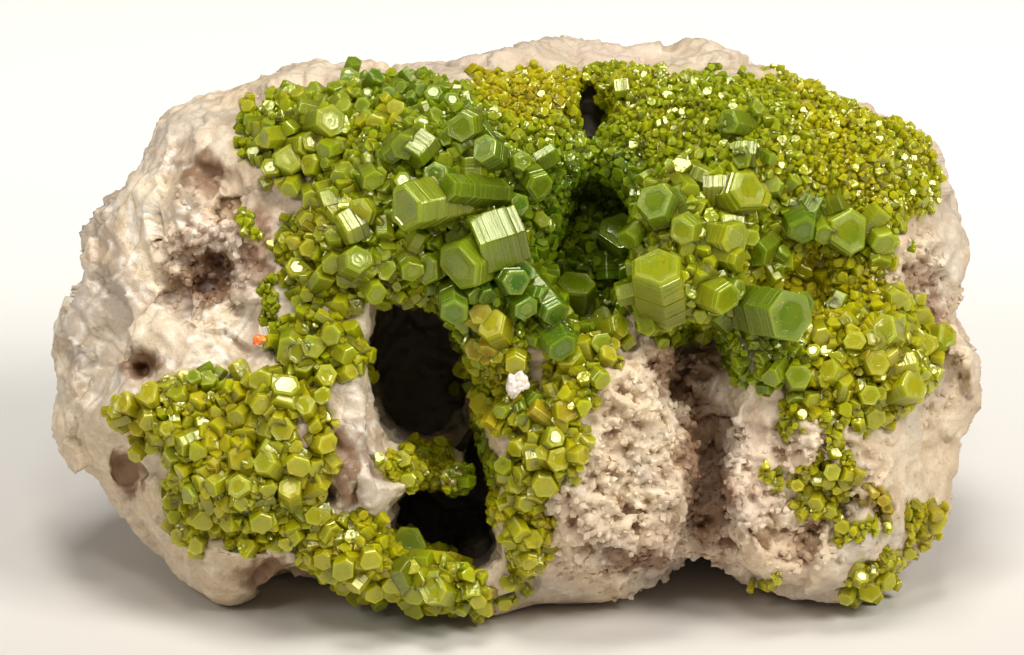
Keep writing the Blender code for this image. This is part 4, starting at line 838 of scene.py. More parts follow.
def relief(point, glassy, porous, settings):
    """Height of the rock's own surface at a point in millimetres, along the normal."""
    height = (noise.noise(point * 0.5) + noise.noise(point * 1.4) * 0.5) * settings.lumps / MM

    # Each cell of the rock broke along a plane of its own slope
    broken = 0.0
    for scale, share in BREAK_SCALES:
        cell = noise.voronoi(point * scale)[1][0]
        slope = noise.noise_vector(cell * 7.31 + Vector((3.1, 1.7, 8.2)))
        broken += (point * scale - cell).dot(slope) / scale * settings.breaks * share * (0.6 + 0.4 * glassy)
    height += max(BREAK_RANGE[0], min(BREAK_RANGE[1], broken))

    # Sugary grains, fewer where the quartz is glassy
    near, second = noise.voronoi(point * GRAIN_SCALE)[0][:2]
    grain = (0.5 - near) * settings.sugar / MM
    seam = max(0.0, 1 - (second - near) / SEAM_WIDTH) * SEAM_DEPTH
    height += (grain - seam) * (1 - 0.8 * glassy) * (0.6 + 0.7 * porous)

    # Thin walls between open cells, on wavy paths
    drawn = point - UP * point.dot(UP) * (DRAWN_RIGHT if point.x > DRAWN_FROM else DRAWN_LEFT)
    drawn = drawn + noise.noise_vector(point * 0.6) * 0.5
    walls = 0.0
    for scale, share in WALL_SCALES:
        walls += (WALL_WIDTH - abs(noise.noise(drawn * scale + Vector((scale, 4.0, 2.0))))) * share
    height += walls * settings.walls / MM * (0.14 + 0.86 * porous) * (1 - 0.8 * glassy)

    # Large and small pits
    dimple = noise.noise(point * 0.95 + Vector((5.0, 2.0, 9.0)))
    small = noise.noise(point * 2.1 + Vector((1.0, 7.0, 4.0)))
    pit = float(smooth((dimple - 0.12) / 0.28)) * 0.75 + float(smooth((small - 0.2) / 0.25)) * 0.35
    return height - pit * porous * settings.pits / MM


def openness(points, normals, tree, reach):
    """Share of each place's sky that is clear of rock within reach, 0 to 1."""
    # One line straight out, four steep ones and four low ones: lean and turn of each
    spread = [(0.0, 0.0)] + [(0.62, k * math.pi / 2) for k in range(4)]
    spread += [(1.12, (k + 0.5) * math.pi / 2) for k in range(4)]
    rays = [
        Vector((math.sin(lean) * math.cos(turn), math.sin(lean) * math.sin(turn), math.cos(lean)))
        for lean, turn in spread
    ]
    result = np.zeros(len(points))
    for index, (place, normal) in enumerate(zip(points, normals)):
        turn = Vector(normal).to_track_quat("Z", "Y")
        start = Vector(place) + Vector(normal) * 0.15
        clear = 0.0
        for ray in rays:
            distance = tree.ray_cast(start, turn @ ray, reach)[3]
            clear += 1.0 if distance is None else distance / reach
        result[index] = clear / len(rays)
    return result


def build_rock_mesh(settings):
    """The rock from its solid: clean grid, finer on the crystal face, zones marked, then relief."""
    mesh = gridded("rock_draft", merged_node("matrix"), settings.grid, 6)
    carve(mesh)
    mesh = gridded("rock_carved", mesh, settings.grid, 2)

    points, normals = vertex_array(mesh) / MM, vertex_array(mesh, "normal")
    tree = surface_tree(mesh)
    near_sky = openness(points, normals, tree, NEAR_REACH)
    far_sky = openness(points, normals, tree, FAR_REACH)
    # Painted shade for the colour: near rock hiding the sky gives the hollow shade, far rock the cave shade
    set_attribute(mesh, "hollow", smooth((0.92 - near_sky) / 0.55))
    set_attribute(mesh, "cave", smooth((0.62 - far_sky) / 0.42))

    mark_zones(mesh)
    bm = bmesh.new()
    bm.from_mesh(mesh)
    bm.normal_update()
    crust = bm.verts.layers.float["crust"]
    facing = {
        f for f in bm.faces if f.normal.dot(OUT) > -0.12 and min(v[crust] for v in f.verts) < 0.7
    }
    edges = [edge for edge in bm.edges if any(face in facing for face in edge.link_faces)]
    bmesh.ops.subdivide_edges(bm, edges=edges, cuts=1, use_grid_fill=True)
    bm.to_mesh(mesh)
    bm.free()
    add_relief(mesh, settings)
    return mesh


def carve(mesh):
    """Sharpens the hollows' mouths, fills others to their seen depth and breaks flats on the face."""
    points = vertex_array(mesh) / MM
    across, up, out = face_places(points)
    flat_places = [Vector((a, u, 0.0)) for a, u in zip(across, up)]
    wave = np.array([noise.noise(p * 0.45) + 0.5 * noise.noise(p * 1.1) for p in flat_places])
    front = out > -6.0

    def share(zone, ragged):
        return smooth(oval_nearness(across + wave * ragged, up - wave * ragged, zone) / zone[6]) * front

    for zone in FLATS:
        level, slope_across, slope_up = zone[5], zone[7], zone[8]
        plane = level + (across - zone[0]) * slope_across + (up - zone[1]) * slope_up
        out = out + (np.minimum(out, plane) - out) * share(zone, 0.5)
    for zone in FILLINGS:
        floor, ragged = zone[5], zone[7]
        out = out + (np.maximum(out, floor) - out) * share(zone, ragged)
    for zone in CARVINGS:
        floor, ragged = zone[5], zone[7]
        out = out + (np.minimum(out, floor) - out) * share(zone, ragged)
    moved = (
        np.array(FACE_CENTRE)
        + np.outer(across, np.array(ACROSS))
        + np.outer(up, np.array(UP))
        + np.outer(out, np.array(OUT))
    )
    moved[:, 2] = np.maximum(moved[:, 2], 0.0)
    move_vertices(mesh, moved)


def mark_zones(mesh):
    """Writes where the rock is glassy, porous, stained or crusted, with crystal tone and size."""
    points = vertex_array(mesh) / MM
    across, up, out = face_places(points)
    places = [Vector(point) for point in points]
    ragged = np.array([noise.noise(p * 0.55) + 0.6 * noise.noise(p * 1.6) for p in places])
    shift_a, shift_u = across + ragged * 0.9, up - ragged * 0.9
    # Nothing grows or stains behind the face
    front = smooth((out + 1.0) / 4.0)

    keep = 1 - zone_cover(across, up, BARE_ZONES, edge=0.25) * 0.97
    spots = np.array([noise.noise(p * 0.9 + Vector((3.0, 1.0, 6.0))) for p in places])
    keep *= 1 - zone_cover(across, up, SPARSE_ZONES, edge=0.3) * smooth((0.08 - spots) / 0.14)
    keep = np.maximum(keep, zone_cover(across, up, [SHELF], edge=0.3))
    cover = zone_cover(shift_a, shift_u, CRUST_ZONES, edge=0.22)
    set_attribute(mesh, "crust", cover * keep * front)

    # Painted shade: the dark hollows are painted near black from a little below their mouths, but not through
    # to the back; the far painted shade is weaker where the rock is stained, so a stained hollow stays brown
    deep = zone_cover(across, up, CARVINGS[:DARK_HOLLOWS], edge=0.3) * smooth((6.0 - out) / 4.0)
    deep *= smooth((out + 8.5) / 2.0)
    stain = zone_cover(shift_a, shift_u, STAIN_ZONES, edge=0.6) * front
    set_attribute(mesh, "cave", np.maximum(get_attribute(mesh, "cave") * (1 - 0.75 * stain), deep))
    set_attribute(mesh, "stain", stain)
    set_attribute(mesh, "glassy", zone_cover(shift_a, shift_u, GLASSY_ZONES, edge=0.4))
    set_attribute(mesh, "porous", zone_cover(shift_a, shift_u, POROUS_ZONES, edge=0.5) * 0.9 + 0.1)
    set_attribute(mesh, "tone", zone_blend(across, up, CRUST_ZONES, 5))
    set_attribute(mesh, "size", zone_blend(across, up, CRUST_ZONES, 6))


def add_relief(mesh, settings):
    """Moves the rock's vertices along their normals, but keeps its feet flat on the floor."""
    points, normals = vertex_array(mesh) / MM, vertex_array(mesh, "normal")
    glassy, porous = get_attribute(mesh, "glassy"), get_attribute(mesh, "porous")
    heights = np.array(
        [relief(Vector(p), g, o, settings) for p, g, o in zip(points, glassy, porous)]
    )
    # Where the relief sinks below the surface: the pits that the material stains and shades
    set_attribute(mesh, "pit", smooth((0.0 - heights) / 0.9) * (0.4 + 0.6 * porous) * (1 - 0.5 * glassy))
    off_floor = smooth((points[:, 2] - 0.25) / 1.5)
    moved = points + normals * (heights * off_floor)[:, None]
    moved[:, 2] = np.maximum(moved[:, 2], 0.0)
    move_vertices(mesh, moved)


def part_of(mesh, name, keep):
    """A new mesh of only the faces that keep accepts."""
    piece = mesh.copy()
    piece.name = name
    bm = bmesh.new()
    bm.from_mesh(piece)
    bm.normal_update()
    bmesh.ops.delete(bm, geom=[f for f in bm.faces if not keep(f)], context="FACES")
    bm.to_mesh(piece)
    bm.free()
    return piece


def split_rock(mesh):
    """The rock as three meshes that meet edge to edge: back, left and right of the face."""
    limit = FACE_CENTRE.dot(OUT) + BACK_LEVEL

    def side(face):
        centre = face.calc_center_median() / MM
        if centre.dot(OUT) <= limit:
            return "rock_back"
        return "rock_left" if centre.x < LEFT_SIDE else "rock_right"

    names = ("rock_back", "rock_left", "rock_right")
    return [part_of(mesh, name, lambda f, name=name: side(f) == name) for name in names]


def hexagon_outline(chance, uneven, chamfer, spin):
    """Twelve corners of a hexagon with unequal sides, each of its own corners cut by a chamfer."""
    reach = [math.cos(math.pi / 6) * (1 + chance.uniform(-uneven, uneven)) for _ in range(6)]
    corners = []
    for side in range(6):
        first, second = side * math.pi / 3, (side + 1) * math.pi / 3
        a, b = reach[side], reach[(side + 1) % 6]
        turn = math.sin(second - first)
        x = (a * math.sin(second) - b * math.sin(first)) / turn
        y = (b * math.cos(first) - a * math.cos(second)) / turn
        corners.append(Vector((x, y)))
    outline = []
    for side, corner in enumerate(corners):
        for other in (corners[side - 1], corners[(side + 1) % 6]):
            outline.append(corner + (other - corner).normalized() * chamfer)
    turned = [Matrix.Rotation(spin, 2) @ corner for corner in outline]
    return [tuple(corner) for corner in turned]


class CrystalHeap:
    """Many crystals gathered in one mesh, each a closed barrel with chamfered, often hoppered, ends."""

    def __init__(self, settings, seed):
        self.settings = settings
        self.random = random.Random(seed)
        self.points, self.faces = [], []
        self.values = {"tone": [], "edge": [], "along": [], "rise": [], "ring": []}

    def profile(self, length, radius, ribbed):
        """Each ring up the crystal: height, radius, edge (share of the painted highlight), shift across and
        along.
        """
        bulge = self.random.uniform(0.03, 0.12)
        flare = self.random.uniform(-0.06, 0.05)
        bevel = radius * self.random.uniform(0.02, 0.10)
        body = max(length * 0.5, length - bevel)
        rings, height = [], 0.0
        while height < body:
            if ribbed:
                plate = self.settings.rib_spacing / MM * self.random.uniform(0.6, 1.9)
                share = 1 - self.settings.rib_depth * self.random.uniform(0.0, 2.0) ** 2 / 2
            else:
                plate, share = self.random.uniform(0.35, 0.8), self.random.uniform(0.98, 1.0)
            top = min(body, height + plate)
            middle = (height + top) / length - 1
            wide = radius * share * (1 - bulge * middle**2 + flare * middle)
            slip = radius * (0.016 if ribbed else 0.006)
            shift = [self.random.uniform(-slip, slip) for _ in range(2)]
            rings.append((height + (top - height) * 0.12, wide, 0.0, *shift))
            rings.append((top, wide * 0.992, 0.35 if ribbed else 0.0, *shift))
            height = top
        wide, tail = rings[-1][1], rings[-1][3:]
        narrow = max(wide * 0.7, wide - bevel * self.random.uniform(0.7, 1.3))
        rings.append((body + bevel, narrow, 1.0, *tail))
        return rings

    def add(self, foot, axis, radius, length, tone, ribbed=False, facing=None):
        """A crystal from its foot, in millimetres, along its axis, with a side facing a given way."""
        turn = axis.to_track_quat("Z", "Y").to_matrix()
        local = turn.transposed() @ facing if facing else None
        spin = math.atan2(local.y, local.x) if local else self.random.uniform(0, math.pi / 3)
        outline = hexagon_outline(self.random, 0.18, self.random.uniform(0.02, 0.07), spin)
        low = min(foot.z, foot.z + axis.z * length) - radius * math.hypot(axis.x, axis.y)
        foot = foot + Vector((0, 0, max(0.0, 0.1 - low)))
        rings = self.profile(length, radius, ribbed)
        start = len(self.points)
        rings.insert(0, (0.0, rings[0][1] * 0.9, 0.0, 0.0, 0.0))
        for height, reach, edge, shift_x, shift_y in rings:
            for x, y in outline:
                local = (x * reach + shift_x, y * reach + shift_y, height)
                self.put(foot, turn, local, tone, edge, height / length)
        for ring in range(len(rings) - 1):
            for k in range(12):
                a, b = start + ring * 12 + k, start + ring * 12 + (k + 1) % 12
                self.faces.append((a, b, b + 12, a + 12))
        self.faces.append(tuple(start + 11 - k for k in range(12)))
        self.add_cap(foot, turn, start + (len(rings) - 1) * 12, rings[-1], outline, tone)

    def put(self, foot, turn, local, tone, edge, along, ring=1.0):
        self.points.append(foot + turn @ Vector(local))
        rise = local[2] if ring == 1.0 else 0.0
        for key, value in zip(self.values, (tone, edge, along, rise, ring)):
            self.values[key].append(value)

    def add_cap(self, foot, turn, rim, last, outline, tone):
        """Closes the top: flat, or with the shallow stepped pit of a hopper crystal."""
        height, radius, _, shift_x, shift_y = last
        steps = [(0.6, 0.0, 0.0)]
        if self.random.random() < 0.14:
            inner, drop = self.random.uniform(0.6, 0.85), self.random.uniform(0.02, 0.07)
            steps = [(inner, 0.0, 0.1), (inner * 0.95, -drop, 0.6), (inner * 0.5, -drop * 1.4, 0.0)]
        for share, drop, edge in steps:
            start = len(self.points)
            for x, y in outline:
                local = (x * radius * share + shift_x, y * radius * share + shift_y, height + drop * radius)
                self.put(foot, turn, local, tone, edge, 1.0, share)
            for k in range(12):
                self.faces.append((rim + k, rim + (k + 1) % 12, start + (k + 1) % 12, start + k))
            rim = start
        self.put(foot, turn, (shift_x, shift_y, height + steps[-1][1] * radius), tone, 0.0, 1.0, 0.0)
        for k in range(12):
            self.faces.append((rim + k, rim + (k + 1) % 12, rim + 12))

    def object(self, name):
        mesh = bpy.data.meshes.new(name)
        mesh.from_pydata([p * MM for p in self.points], [], self.faces)
        for key, values in self.values.items():
            set_attribute(mesh, key, values)
        mesh.update()
        return link(name, mesh)


def rock_below(across, up):
    """(place, normal) where a line straight into the face meets the rock, in millimetres.

    A line that misses it is moved towards the middle of the face until one meets it.
    """
    for _ in range(12):
        place, normal, _, _ = surface["tree"].ray_cast(face_point(across, up, FAR_OUT), -OUT)
        if place is not None:
            return place, normal
        across, up = across * 0.97, up * 0.97
    raise RuntimeError(f"no rock under across {across}, up {up}")


def wild(chance, reach):
    """A random vector with each part between minus reach and reach."""
    return Vector([chance.uniform(-reach, reach) for _ in range(3)])


def plant(heap, row, satellites):
    """One leading crystal and the smaller ones that grew against it."""
    across, up, radius, length, lean_across, lean_up, tone, ribbed = row
    place, normal = rock_below(across, up)
    lean_out = math.sqrt(max(0.05, 1 - lean_across**2 - lean_up**2))
    axis = (ACROSS * lean_across + UP * lean_up + OUT * lean_out).normalized()
    loose = max(0.0, 0.75 - math.hypot(lean_across, lean_up))
    axis = (axis + normal * loose * 0.5 + wild(heap.random, 1.5 * loose)).normalized()
    if axis.dot(normal) < 0.2:
        axis = (axis + normal * 0.5).normalized()
    lift = radius * max(0.0, 1 - axis.dot(normal)) * 0.9
    sink = radius * 0.85
    foot = place + normal * lift - axis * sink
    heap.add(foot, axis, radius, length + sink, tone, bool(ribbed))
    for _ in range(satellites):
        angle = heap.random.uniform(0, 2 * math.pi)
        reach = radius * heap.random.uniform(0.75, 1.25)
        side = ACROSS * math.cos(angle) * reach + UP * math.sin(angle) * reach
        size = min(0.95, radius * heap.random.uniform(0.5, 0.88))
        lean = axis * 0.3 + normal * 0.4 + wild(heap.random, 0.8) + side.normalized() * 0.4
        small_axis = lean.normalized()
        near, near_normal = rock_below(across + side.dot(ACROSS), up + side.dot(UP))
        small_foot = near - small_axis * size * 0.6 + near_normal * lift * 0.5
        small_length = size * heap.random.uniform(1.3, 2.3) + size * 0.6
        heap.add(small_foot, small_axis, size, small_length, tone + heap.random.uniform(-0.06, 0.03))


def mirror_normal(place, box):
    """The way a flat at a place has to face to show a softbox to the camera."""
    to_box = Vector(SOFTBOXES[box][1]) / MM + FACE_CENTRE - place
    to_eye = face_point(0, 0, EYE_DISTANCE / MM) - place
    return (to_box.normalized() + to_eye.normalized()).normalized()


def plant_mirror(heap, row):
    """A crystal turned so that one flat of it shows a softbox to the camera."""
    across, up, radius, length, lean_across, lean_up, tone, ribbed, box, by_cap = row
    place, normal = rock_below(across, up)
    flat = mirror_normal(place, box)
    axis = ACROSS * lean_across + UP * lean_up + OUT * 0.35
    axis = flat if by_cap else (axis - flat * axis.dot(flat)).normalized()
    foot = place + OUT * radius * 0.9 - axis * length * (0.3 if by_cap else 0.5)
    heap.add(foot, axis, radius, length, tone, bool(ribbed), None if by_cap else flat)


def gathered_shapes(name, meshes):
    """A collection with one object for each of the meshes, for scattering."""
    shapes = bpy.data.collections.new(name)
    bpy.context.scene.collection.children.link(shapes)
    for number, mesh in enumerate(meshes):
        mesh.name = f"{name}_{number}"
        shapes.objects.link(bpy.data.objects.new(mesh.name, mesh))
    return shapes


def druse_shape(chance):
    """A small crystal of unit radius, slightly skew, with few faces."""
    length = chance.uniform(0.8, 1.8)
    waist = chance.uniform(0.86, 0.98)
    outline = hexagon_outline(chance, 0.26, 0.0, 0.0)[::2]
    bevel = chance.uniform(0.03, 0.14)
    bm = bmesh.new()
    edge, along = bm.verts.layers.float.new("edge"), bm.verts.layers.float.new("along")
    rings = []
    for height, radius in ((-0.4, 0.94), (length - bevel, waist), (length, waist - bevel * 0.9)):
        slip = Vector([chance.uniform(-0.05, 0.05) for _ in range(2)])
        ring = []
        for x, y in outline:
            vertex = bm.verts.new((x * radius + slip.x, y * radius + slip.y, height))
            # The top ring carries the painted edge highlight
            vertex[edge] = 1.0 if height == length else 0.0
            vertex[along] = max(0.0, height / length)
            ring.append(vertex)
        rings.append(ring)
    for low, high in zip(rings, rings[1:]):
        for k in range(6):
            bm.faces.new((low[k], low[(k + 1) % 6], high[(k + 1) % 6], high[k]))
    bm.faces.new(list(reversed(rings[0])))
    bm.faces.new(rings[-1])
    return mesh_of(bm)


def sugar_shape(number):
    """An angular quartz grain of unit radius."""
    bm = bmesh.new()
    bmesh.ops.create_icosphere(bm, subdivisions=1, radius=1.0)
    shift = Vector((number * 3.7, 1.0, 2.0))
    for vertex in bm.verts:
        vertex.co *= 1 + 0.9 * noise.noise(vertex.co * 1.3 + shift)
    bmesh.ops.recalc_face_normals(bm, faces=bm.faces)
    return mesh_of(bm)


def drop_collection(collection):
    """Removes a collection of shapes once they have been scattered."""
    for obj in list(collection.objects):
        bpy.data.objects.remove(obj, do_unlink=True)
    bpy.data.collections.remove(collection)


class ScatterTree:
    """A node tree that scatters shapes over a surface, thinned by its cover and sized by its size."""

    INPUTS = {
        "Spacing": "NodeSocketFloat",
        "Size": "NodeSocketFloat",
        "Size spread": "NodeSocketFloat",
        "Tilt": "NodeSocketFloat",
        "Tone spread": "NodeSocketFloat",
        "Sparkle": "NodeSocketFloat",
        "Mirror": "NodeSocketVector",
        "Seed": "NodeSocketInt",
    }

    def __init__(self, name, shapes, material):
        self.tree = bpy.data.node_groups.new(name, "GeometryNodeTree")
        sockets = self.tree.interface
        sockets.new_socket("Geometry", in_out="INPUT", socket_type="NodeSocketGeometry")
        for label, kind in self.INPUTS.items():
            sockets.new_socket(label, in_out="INPUT", socket_type=kind)
        sockets.new_socket("Geometry", in_out="OUTPUT", socket_type="NodeSocketGeometry")
        self.given = self.tree.nodes.new("NodeGroupInput").outputs
        spread = self.spread_points()
        gathered = self.node(
            "GeometryNodeCollectionInfo",
            {"transform_space": "ORIGINAL"},
            {"Collection": shapes, "Separate Children": True, "Reset Children": True},
        )
        planted = self.node(
            "GeometryNodeInstanceOnPoints",
            {},
            {
                "Points": self.toned(spread["Points"]),
                "Instance": gathered[0],
                "Pick Instance": True,
                "Instance Index": self.any_shape(),
                "Rotation": self.turned(spread["Rotation"]),
                "Scale": self.scale(),
            },
        )
        real = self.node("GeometryNodeRealizeInstances", {}, {"Geometry": planted[0]})
        sockets = {"Geometry": real[0], "Material": material}
        dressed = self.node("GeometryNodeSetMaterial", {}, sockets)
        result = self.tree.nodes.new("NodeGroupOutput")
        self.tree.links.new(dressed[0], result.inputs[0])

    def feed(self, socket, value):
        if isinstance(value, bpy.types.NodeSocket):
            self.tree.links.new(value, socket)
        else:
            socket.default_value = value

    def node(self, kind, settings, sockets):
        """Adds a node, settings first, and returns its outputs."""
        made = self.tree.nodes.new(kind)
        for key, value in settings.items():
            setattr(made, key, value)
        for key, value in sockets.items():
            self.feed(made.inputs[key], value)
        return made.outputs

    def maths(self, operation, first, second):
        return self.node("ShaderNodeMath", {"operation": operation}, {0: first, 1: second})[0]

    def named(self, attribute):
        settings = {"data_type": "FLOAT"}
        return self.node("GeometryNodeInputNamedAttribute", settings, {"Name": attribute})["Attribute"]

    def chance(self, low, high, number):
        """A random value of its own for each point; the number tells the draws apart."""
        made = self.tree.nodes.new("FunctionNodeRandomValue")
        made.data_type = "FLOAT"
        self.feed(made.inputs["Seed"], self.maths("ADD", self.given["Seed"], float(number)))
        for key, value in (("Min", low), ("Max", high)):
            self.feed([s for s in made.inputs if s.name == key and s.type == "VALUE"][0], value)
        return [s for s in made.outputs if s.type == "VALUE"][0]

    def either_way(self, reach, number):
        """A random value from minus reach to reach."""
        return self.chance(self.maths("MULTIPLY", reach, -1.0), reach, number)

    def spread_points(self):
        return self.node(
            "GeometryNodeDistributePointsOnFaces",
            {"distribute_method": "POISSON"},
            {
                "Mesh": self.given["Geometry"],
                "Distance Min": self.given["Spacing"],
                "Density Max": 3.0e7,
                "Density Factor": self.named("cover"),
                "Seed": self.given["Seed"],
            },
        )

    def toned(self, points):
        """The points with the zone's tone, each a little off it."""
        tone = self.maths("ADD", self.named("tone"), self.either_way(self.given["Tone spread"], 11))
        settings = {"data_type": "FLOAT", "domain": "POINT"}
        sockets = {"Geometry": points, "Name": "tone", "Value": tone}
        return self.node("GeometryNodeStoreNamedAttribute", settings, sockets)["Geometry"]

    def turned(self, upright):
        """Upright shapes tilted and spun, and a few of them aimed at the mirror direction."""
        tilt = self.given["Tilt"]
        angles = {0: self.either_way(tilt, 21), 1: self.either_way(tilt, 22)}
        angles[2] = self.chance(0.0, 2 * math.pi, 23)
        lean = self.node("ShaderNodeCombineXYZ", {}, angles)
        turn = self.node("FunctionNodeEulerToRotation", {}, {0: lean[0]})
        settings = {"rotation_space": "LOCAL"}
        tilted = self.node("FunctionNodeRotateRotation", settings, {0: upright, 1: turn[0]})
        aimed = self.maths("LESS_THAN", self.chance(0.0, 1.0, 41), self.given["Sparkle"])
        sockets = {"Rotation": tilted[0], "Factor": aimed, "Vector": self.given["Mirror"]}
        return self.node("FunctionNodeAlignRotationToVector", {"axis": "Z"}, sockets)[0]

    def scale(self):
        low = self.maths("SUBTRACT", 1.0, self.given["Size spread"])
        high = self.maths("ADD", 1.0, self.given["Size spread"])
        size = self.maths("MULTIPLY", self.chance(low, high, 31), self.named("size"))
        return self.maths("MULTIPLY", size, self.given["Size"])

    def any_shape(self):
        """A random whole number; instancing wraps it round the number of shapes."""
        made = self.tree.nodes.new("FunctionNodeRandomValue")
        made.data_type = "INT"
        for key, value in (("Min", 0), ("Max", 1000)):
            self.feed([s for s in made.inputs if s.name == key and s.type == "INT"][0], value)
        return [s for s in made.outputs if s.type == "INT"][0]


def scattered(name, base, tree, values):
    """Runs a scatter tree on a copy of the base mesh and returns the finished object."""
    draft = link(f"{name}_draft", base.copy())
    modifier = draft.modifiers.new("Scatter", "NODES")
    modifier.node_group = tree
    for item in tree.interface.items_tree:
        if item.item_type == "SOCKET" and item.in_out == "INPUT" and item.name in values:
            value = values[item.name]
            modifier[item.identifier] = tuple(value) if isinstance(value, Vector) else value
    mesh = plain_mesh(draft)
    mesh.name = name
    return link(name, mesh)


def patch_mesh(name, keep, cover):
    """The part of the rock's skin that keep accepts, with its cover written for scattering."""
    mesh = part_of(surface["mesh"], name, keep)
    set_attribute(mesh, "cover", cover(mesh))
    return mesh


def face_place_of(face):
    """(across, up) of the middle of a face, in millimetres."""
    centre = face.calc_center_median() / MM - FACE_CENTRE
    return centre.dot(ACROSS), centre.dot(UP)


class SPECIMEN_OT_rock(Operator):
    """Make the quartz rock with its hollows, breaks and sugary grain"""

    bl_idname = "specimen.rock"
    bl_label = "Quartz rock"

    def execute(self, context):
        settings = context.scene.specimen_rock
        noise.seed_set(BREAK_SEED)
        mesh = build_rock_mesh(settings)
        surface["tree"] = surface_tree(mesh)
        surface["mesh"] = mesh
        material = quartz_finish("quartz_rock", settings)
        for piece in split_rock(mesh):
            piece.shade_smooth()
            nodes = ["matrix"] if piece.name == "rock_back" else []
            finish_piece(link(piece.name, piece), material, nodes)
        return {"FINISHED"}


class SPECIMEN_OT_sugar(Operator):
    """Scatter sugary quartz grains over the bare rock"""

    bl_idname = "specimen.sugar"
    bl_label = "Sugary grains"

    def execute(self, context):
        druse = context.scene.specimen_druse
        shapes = gathered_shapes("sugar_shapes", [sugar_shape(number) for number in range(5)])
        material = quartz_finish("quartz_sugar", context.scene.specimen_rock)
        tree = ScatterTree("sugar_scatter", shapes, material).tree

        def cover(mesh):
            cave = get_attribute(mesh, "cave")
            porous, crust = get_attribute(mesh, "porous"), get_attribute(mesh, "crust")
            return np.clip((porous - 0.15) * (1 - crust) * (1 - cave), 0, 1)

        base = patch_mesh("sugar_base", lambda f: f.normal.dot(OUT) > 0.0, cover)
        set_attribute(base, "size", np.full(len(base.vertices), 1.0))
        values = {
            "Spacing": druse.sugar_spacing,
            "Size": druse.sugar_size,
            "Size spread": 0.55,
            "Tilt": 1.2,
            "Tone spread": 0.0,
            "Sparkle": 0.0,
            "Mirror": OUT,
            "Seed": 3,
        }
        obj = scattered("quartz_sugar", base, tree, values)
        for key in ("hollow", "cave", "stain", "crust", "glassy", "pit", "size"):
            if key not in obj.data.attributes:
                set_attribute(obj.data, key, np.zeros(len(obj.data.vertices)))
        finish_piece(obj, material)
        drop_collection(shapes)
        return {"FINISHED"}


class SPECIMEN_OT_barrels(Operator):
    """Plant the leading crystals: short barrels, ribbed in the middle of the face"""

    bl_idname = "specimen.barrels"
    bl_label = "Leading crystals"

    def execute(self, context):
        settings = context.scene.specimen_crystals
        material = green_finish("pyromorphite_barrels", settings, True)
        groups = (
            ("central_barrels", BARRELS + SPUR, 7, ("main_crust", "vug_shelf_patch")),
            ("upper_barrels", UPPER, 8, ()),
            ("left_barrels", LEFT, 9, ("left_crust",)),
            ("small_barrels", SMALL, 10, ("right_face_patch", "low_right_patch", "right_edge_patch")),
        )
        for name, rows, seed, nodes in groups:
            heap = CrystalHeap(settings, seed)
            for row in rows:
                plant(heap, row, settings.satellites)
            for row in MIRRORS if name == "central_barrels" else ():
                plant_mirror(heap, row)
            finish_piece(heap.object(name), material, nodes)
        return {"FINISHED"}


class SPECIMEN_OT_druse(Operator):
    """Scatter the small crystals that cover the rock between the leading ones"""

    bl_idname = "specimen.druse"
    bl_label = "Druse"

    def execute(self, context):
        druse = context.scene.specimen_druse
        chance = random.Random(5)
        shapes = gathered_shapes("druse_shapes", [druse_shape(chance) for _ in range(9)])
        material = green_finish("pyromorphite_druse", context.scene.specimen_crystals, False)
        tree = ScatterTree("druse_scatter", shapes, material).tree

        def cover(mesh):
            above = vertex_array(mesh)[:, 2] / MM
            return smooth((get_attribute(mesh, "crust") - 0.12) / 0.75) * smooth((above - 0.7) / 0.8)

        def medium(mesh):
            return cover(mesh) * (0.12 + 0.88 * smooth((get_attribute(mesh, "size") - 0.55) / 0.2))

        def fine(mesh):
            return cover(mesh) * (1 - 0.72 * smooth((get_attribute(mesh, "size") - 0.6) / 0.2))

        areas = (
            ("druse_left", lambda a, u: a < -3 and u < 1, 41),
            ("druse_upper", lambda a, u: a < 4 and not (a < -3 and u < 1), 42),
            ("druse_right", lambda a, u: a >= 4, 43),
        )
        kinds = (
            ("", medium, druse.spacing, druse.size),
            ("_fine", fine, druse.fine_spacing, druse.fine_size),
        )
        for name, inside, seed in areas:
            for number, (suffix, share, spacing, size) in enumerate(kinds):
                values = {
                    "Spacing": spacing,
                    "Size": size,
                    "Size spread": 0.45,
                    "Tilt": 1.0,
                    "Tone spread": 0.05,
                    "Sparkle": 0.015 + 0.015 * number,
                    "Mirror": mirror_normal(FACE_CENTRE, number),
                    "Seed": seed + 20 * number,
                }
                base = patch_mesh(f"{name}_base", lambda f: inside(*face_place_of(f)), share)
                if suffix:
                    set_attribute(base, "size", 0.45 + 0.5 * get_attribute(base, "size"))
                obj = scattered(name + suffix, base, tree, values)
                finish_piece(obj, material)
        drop_collection(shapes)
        return {"FINISHED"}


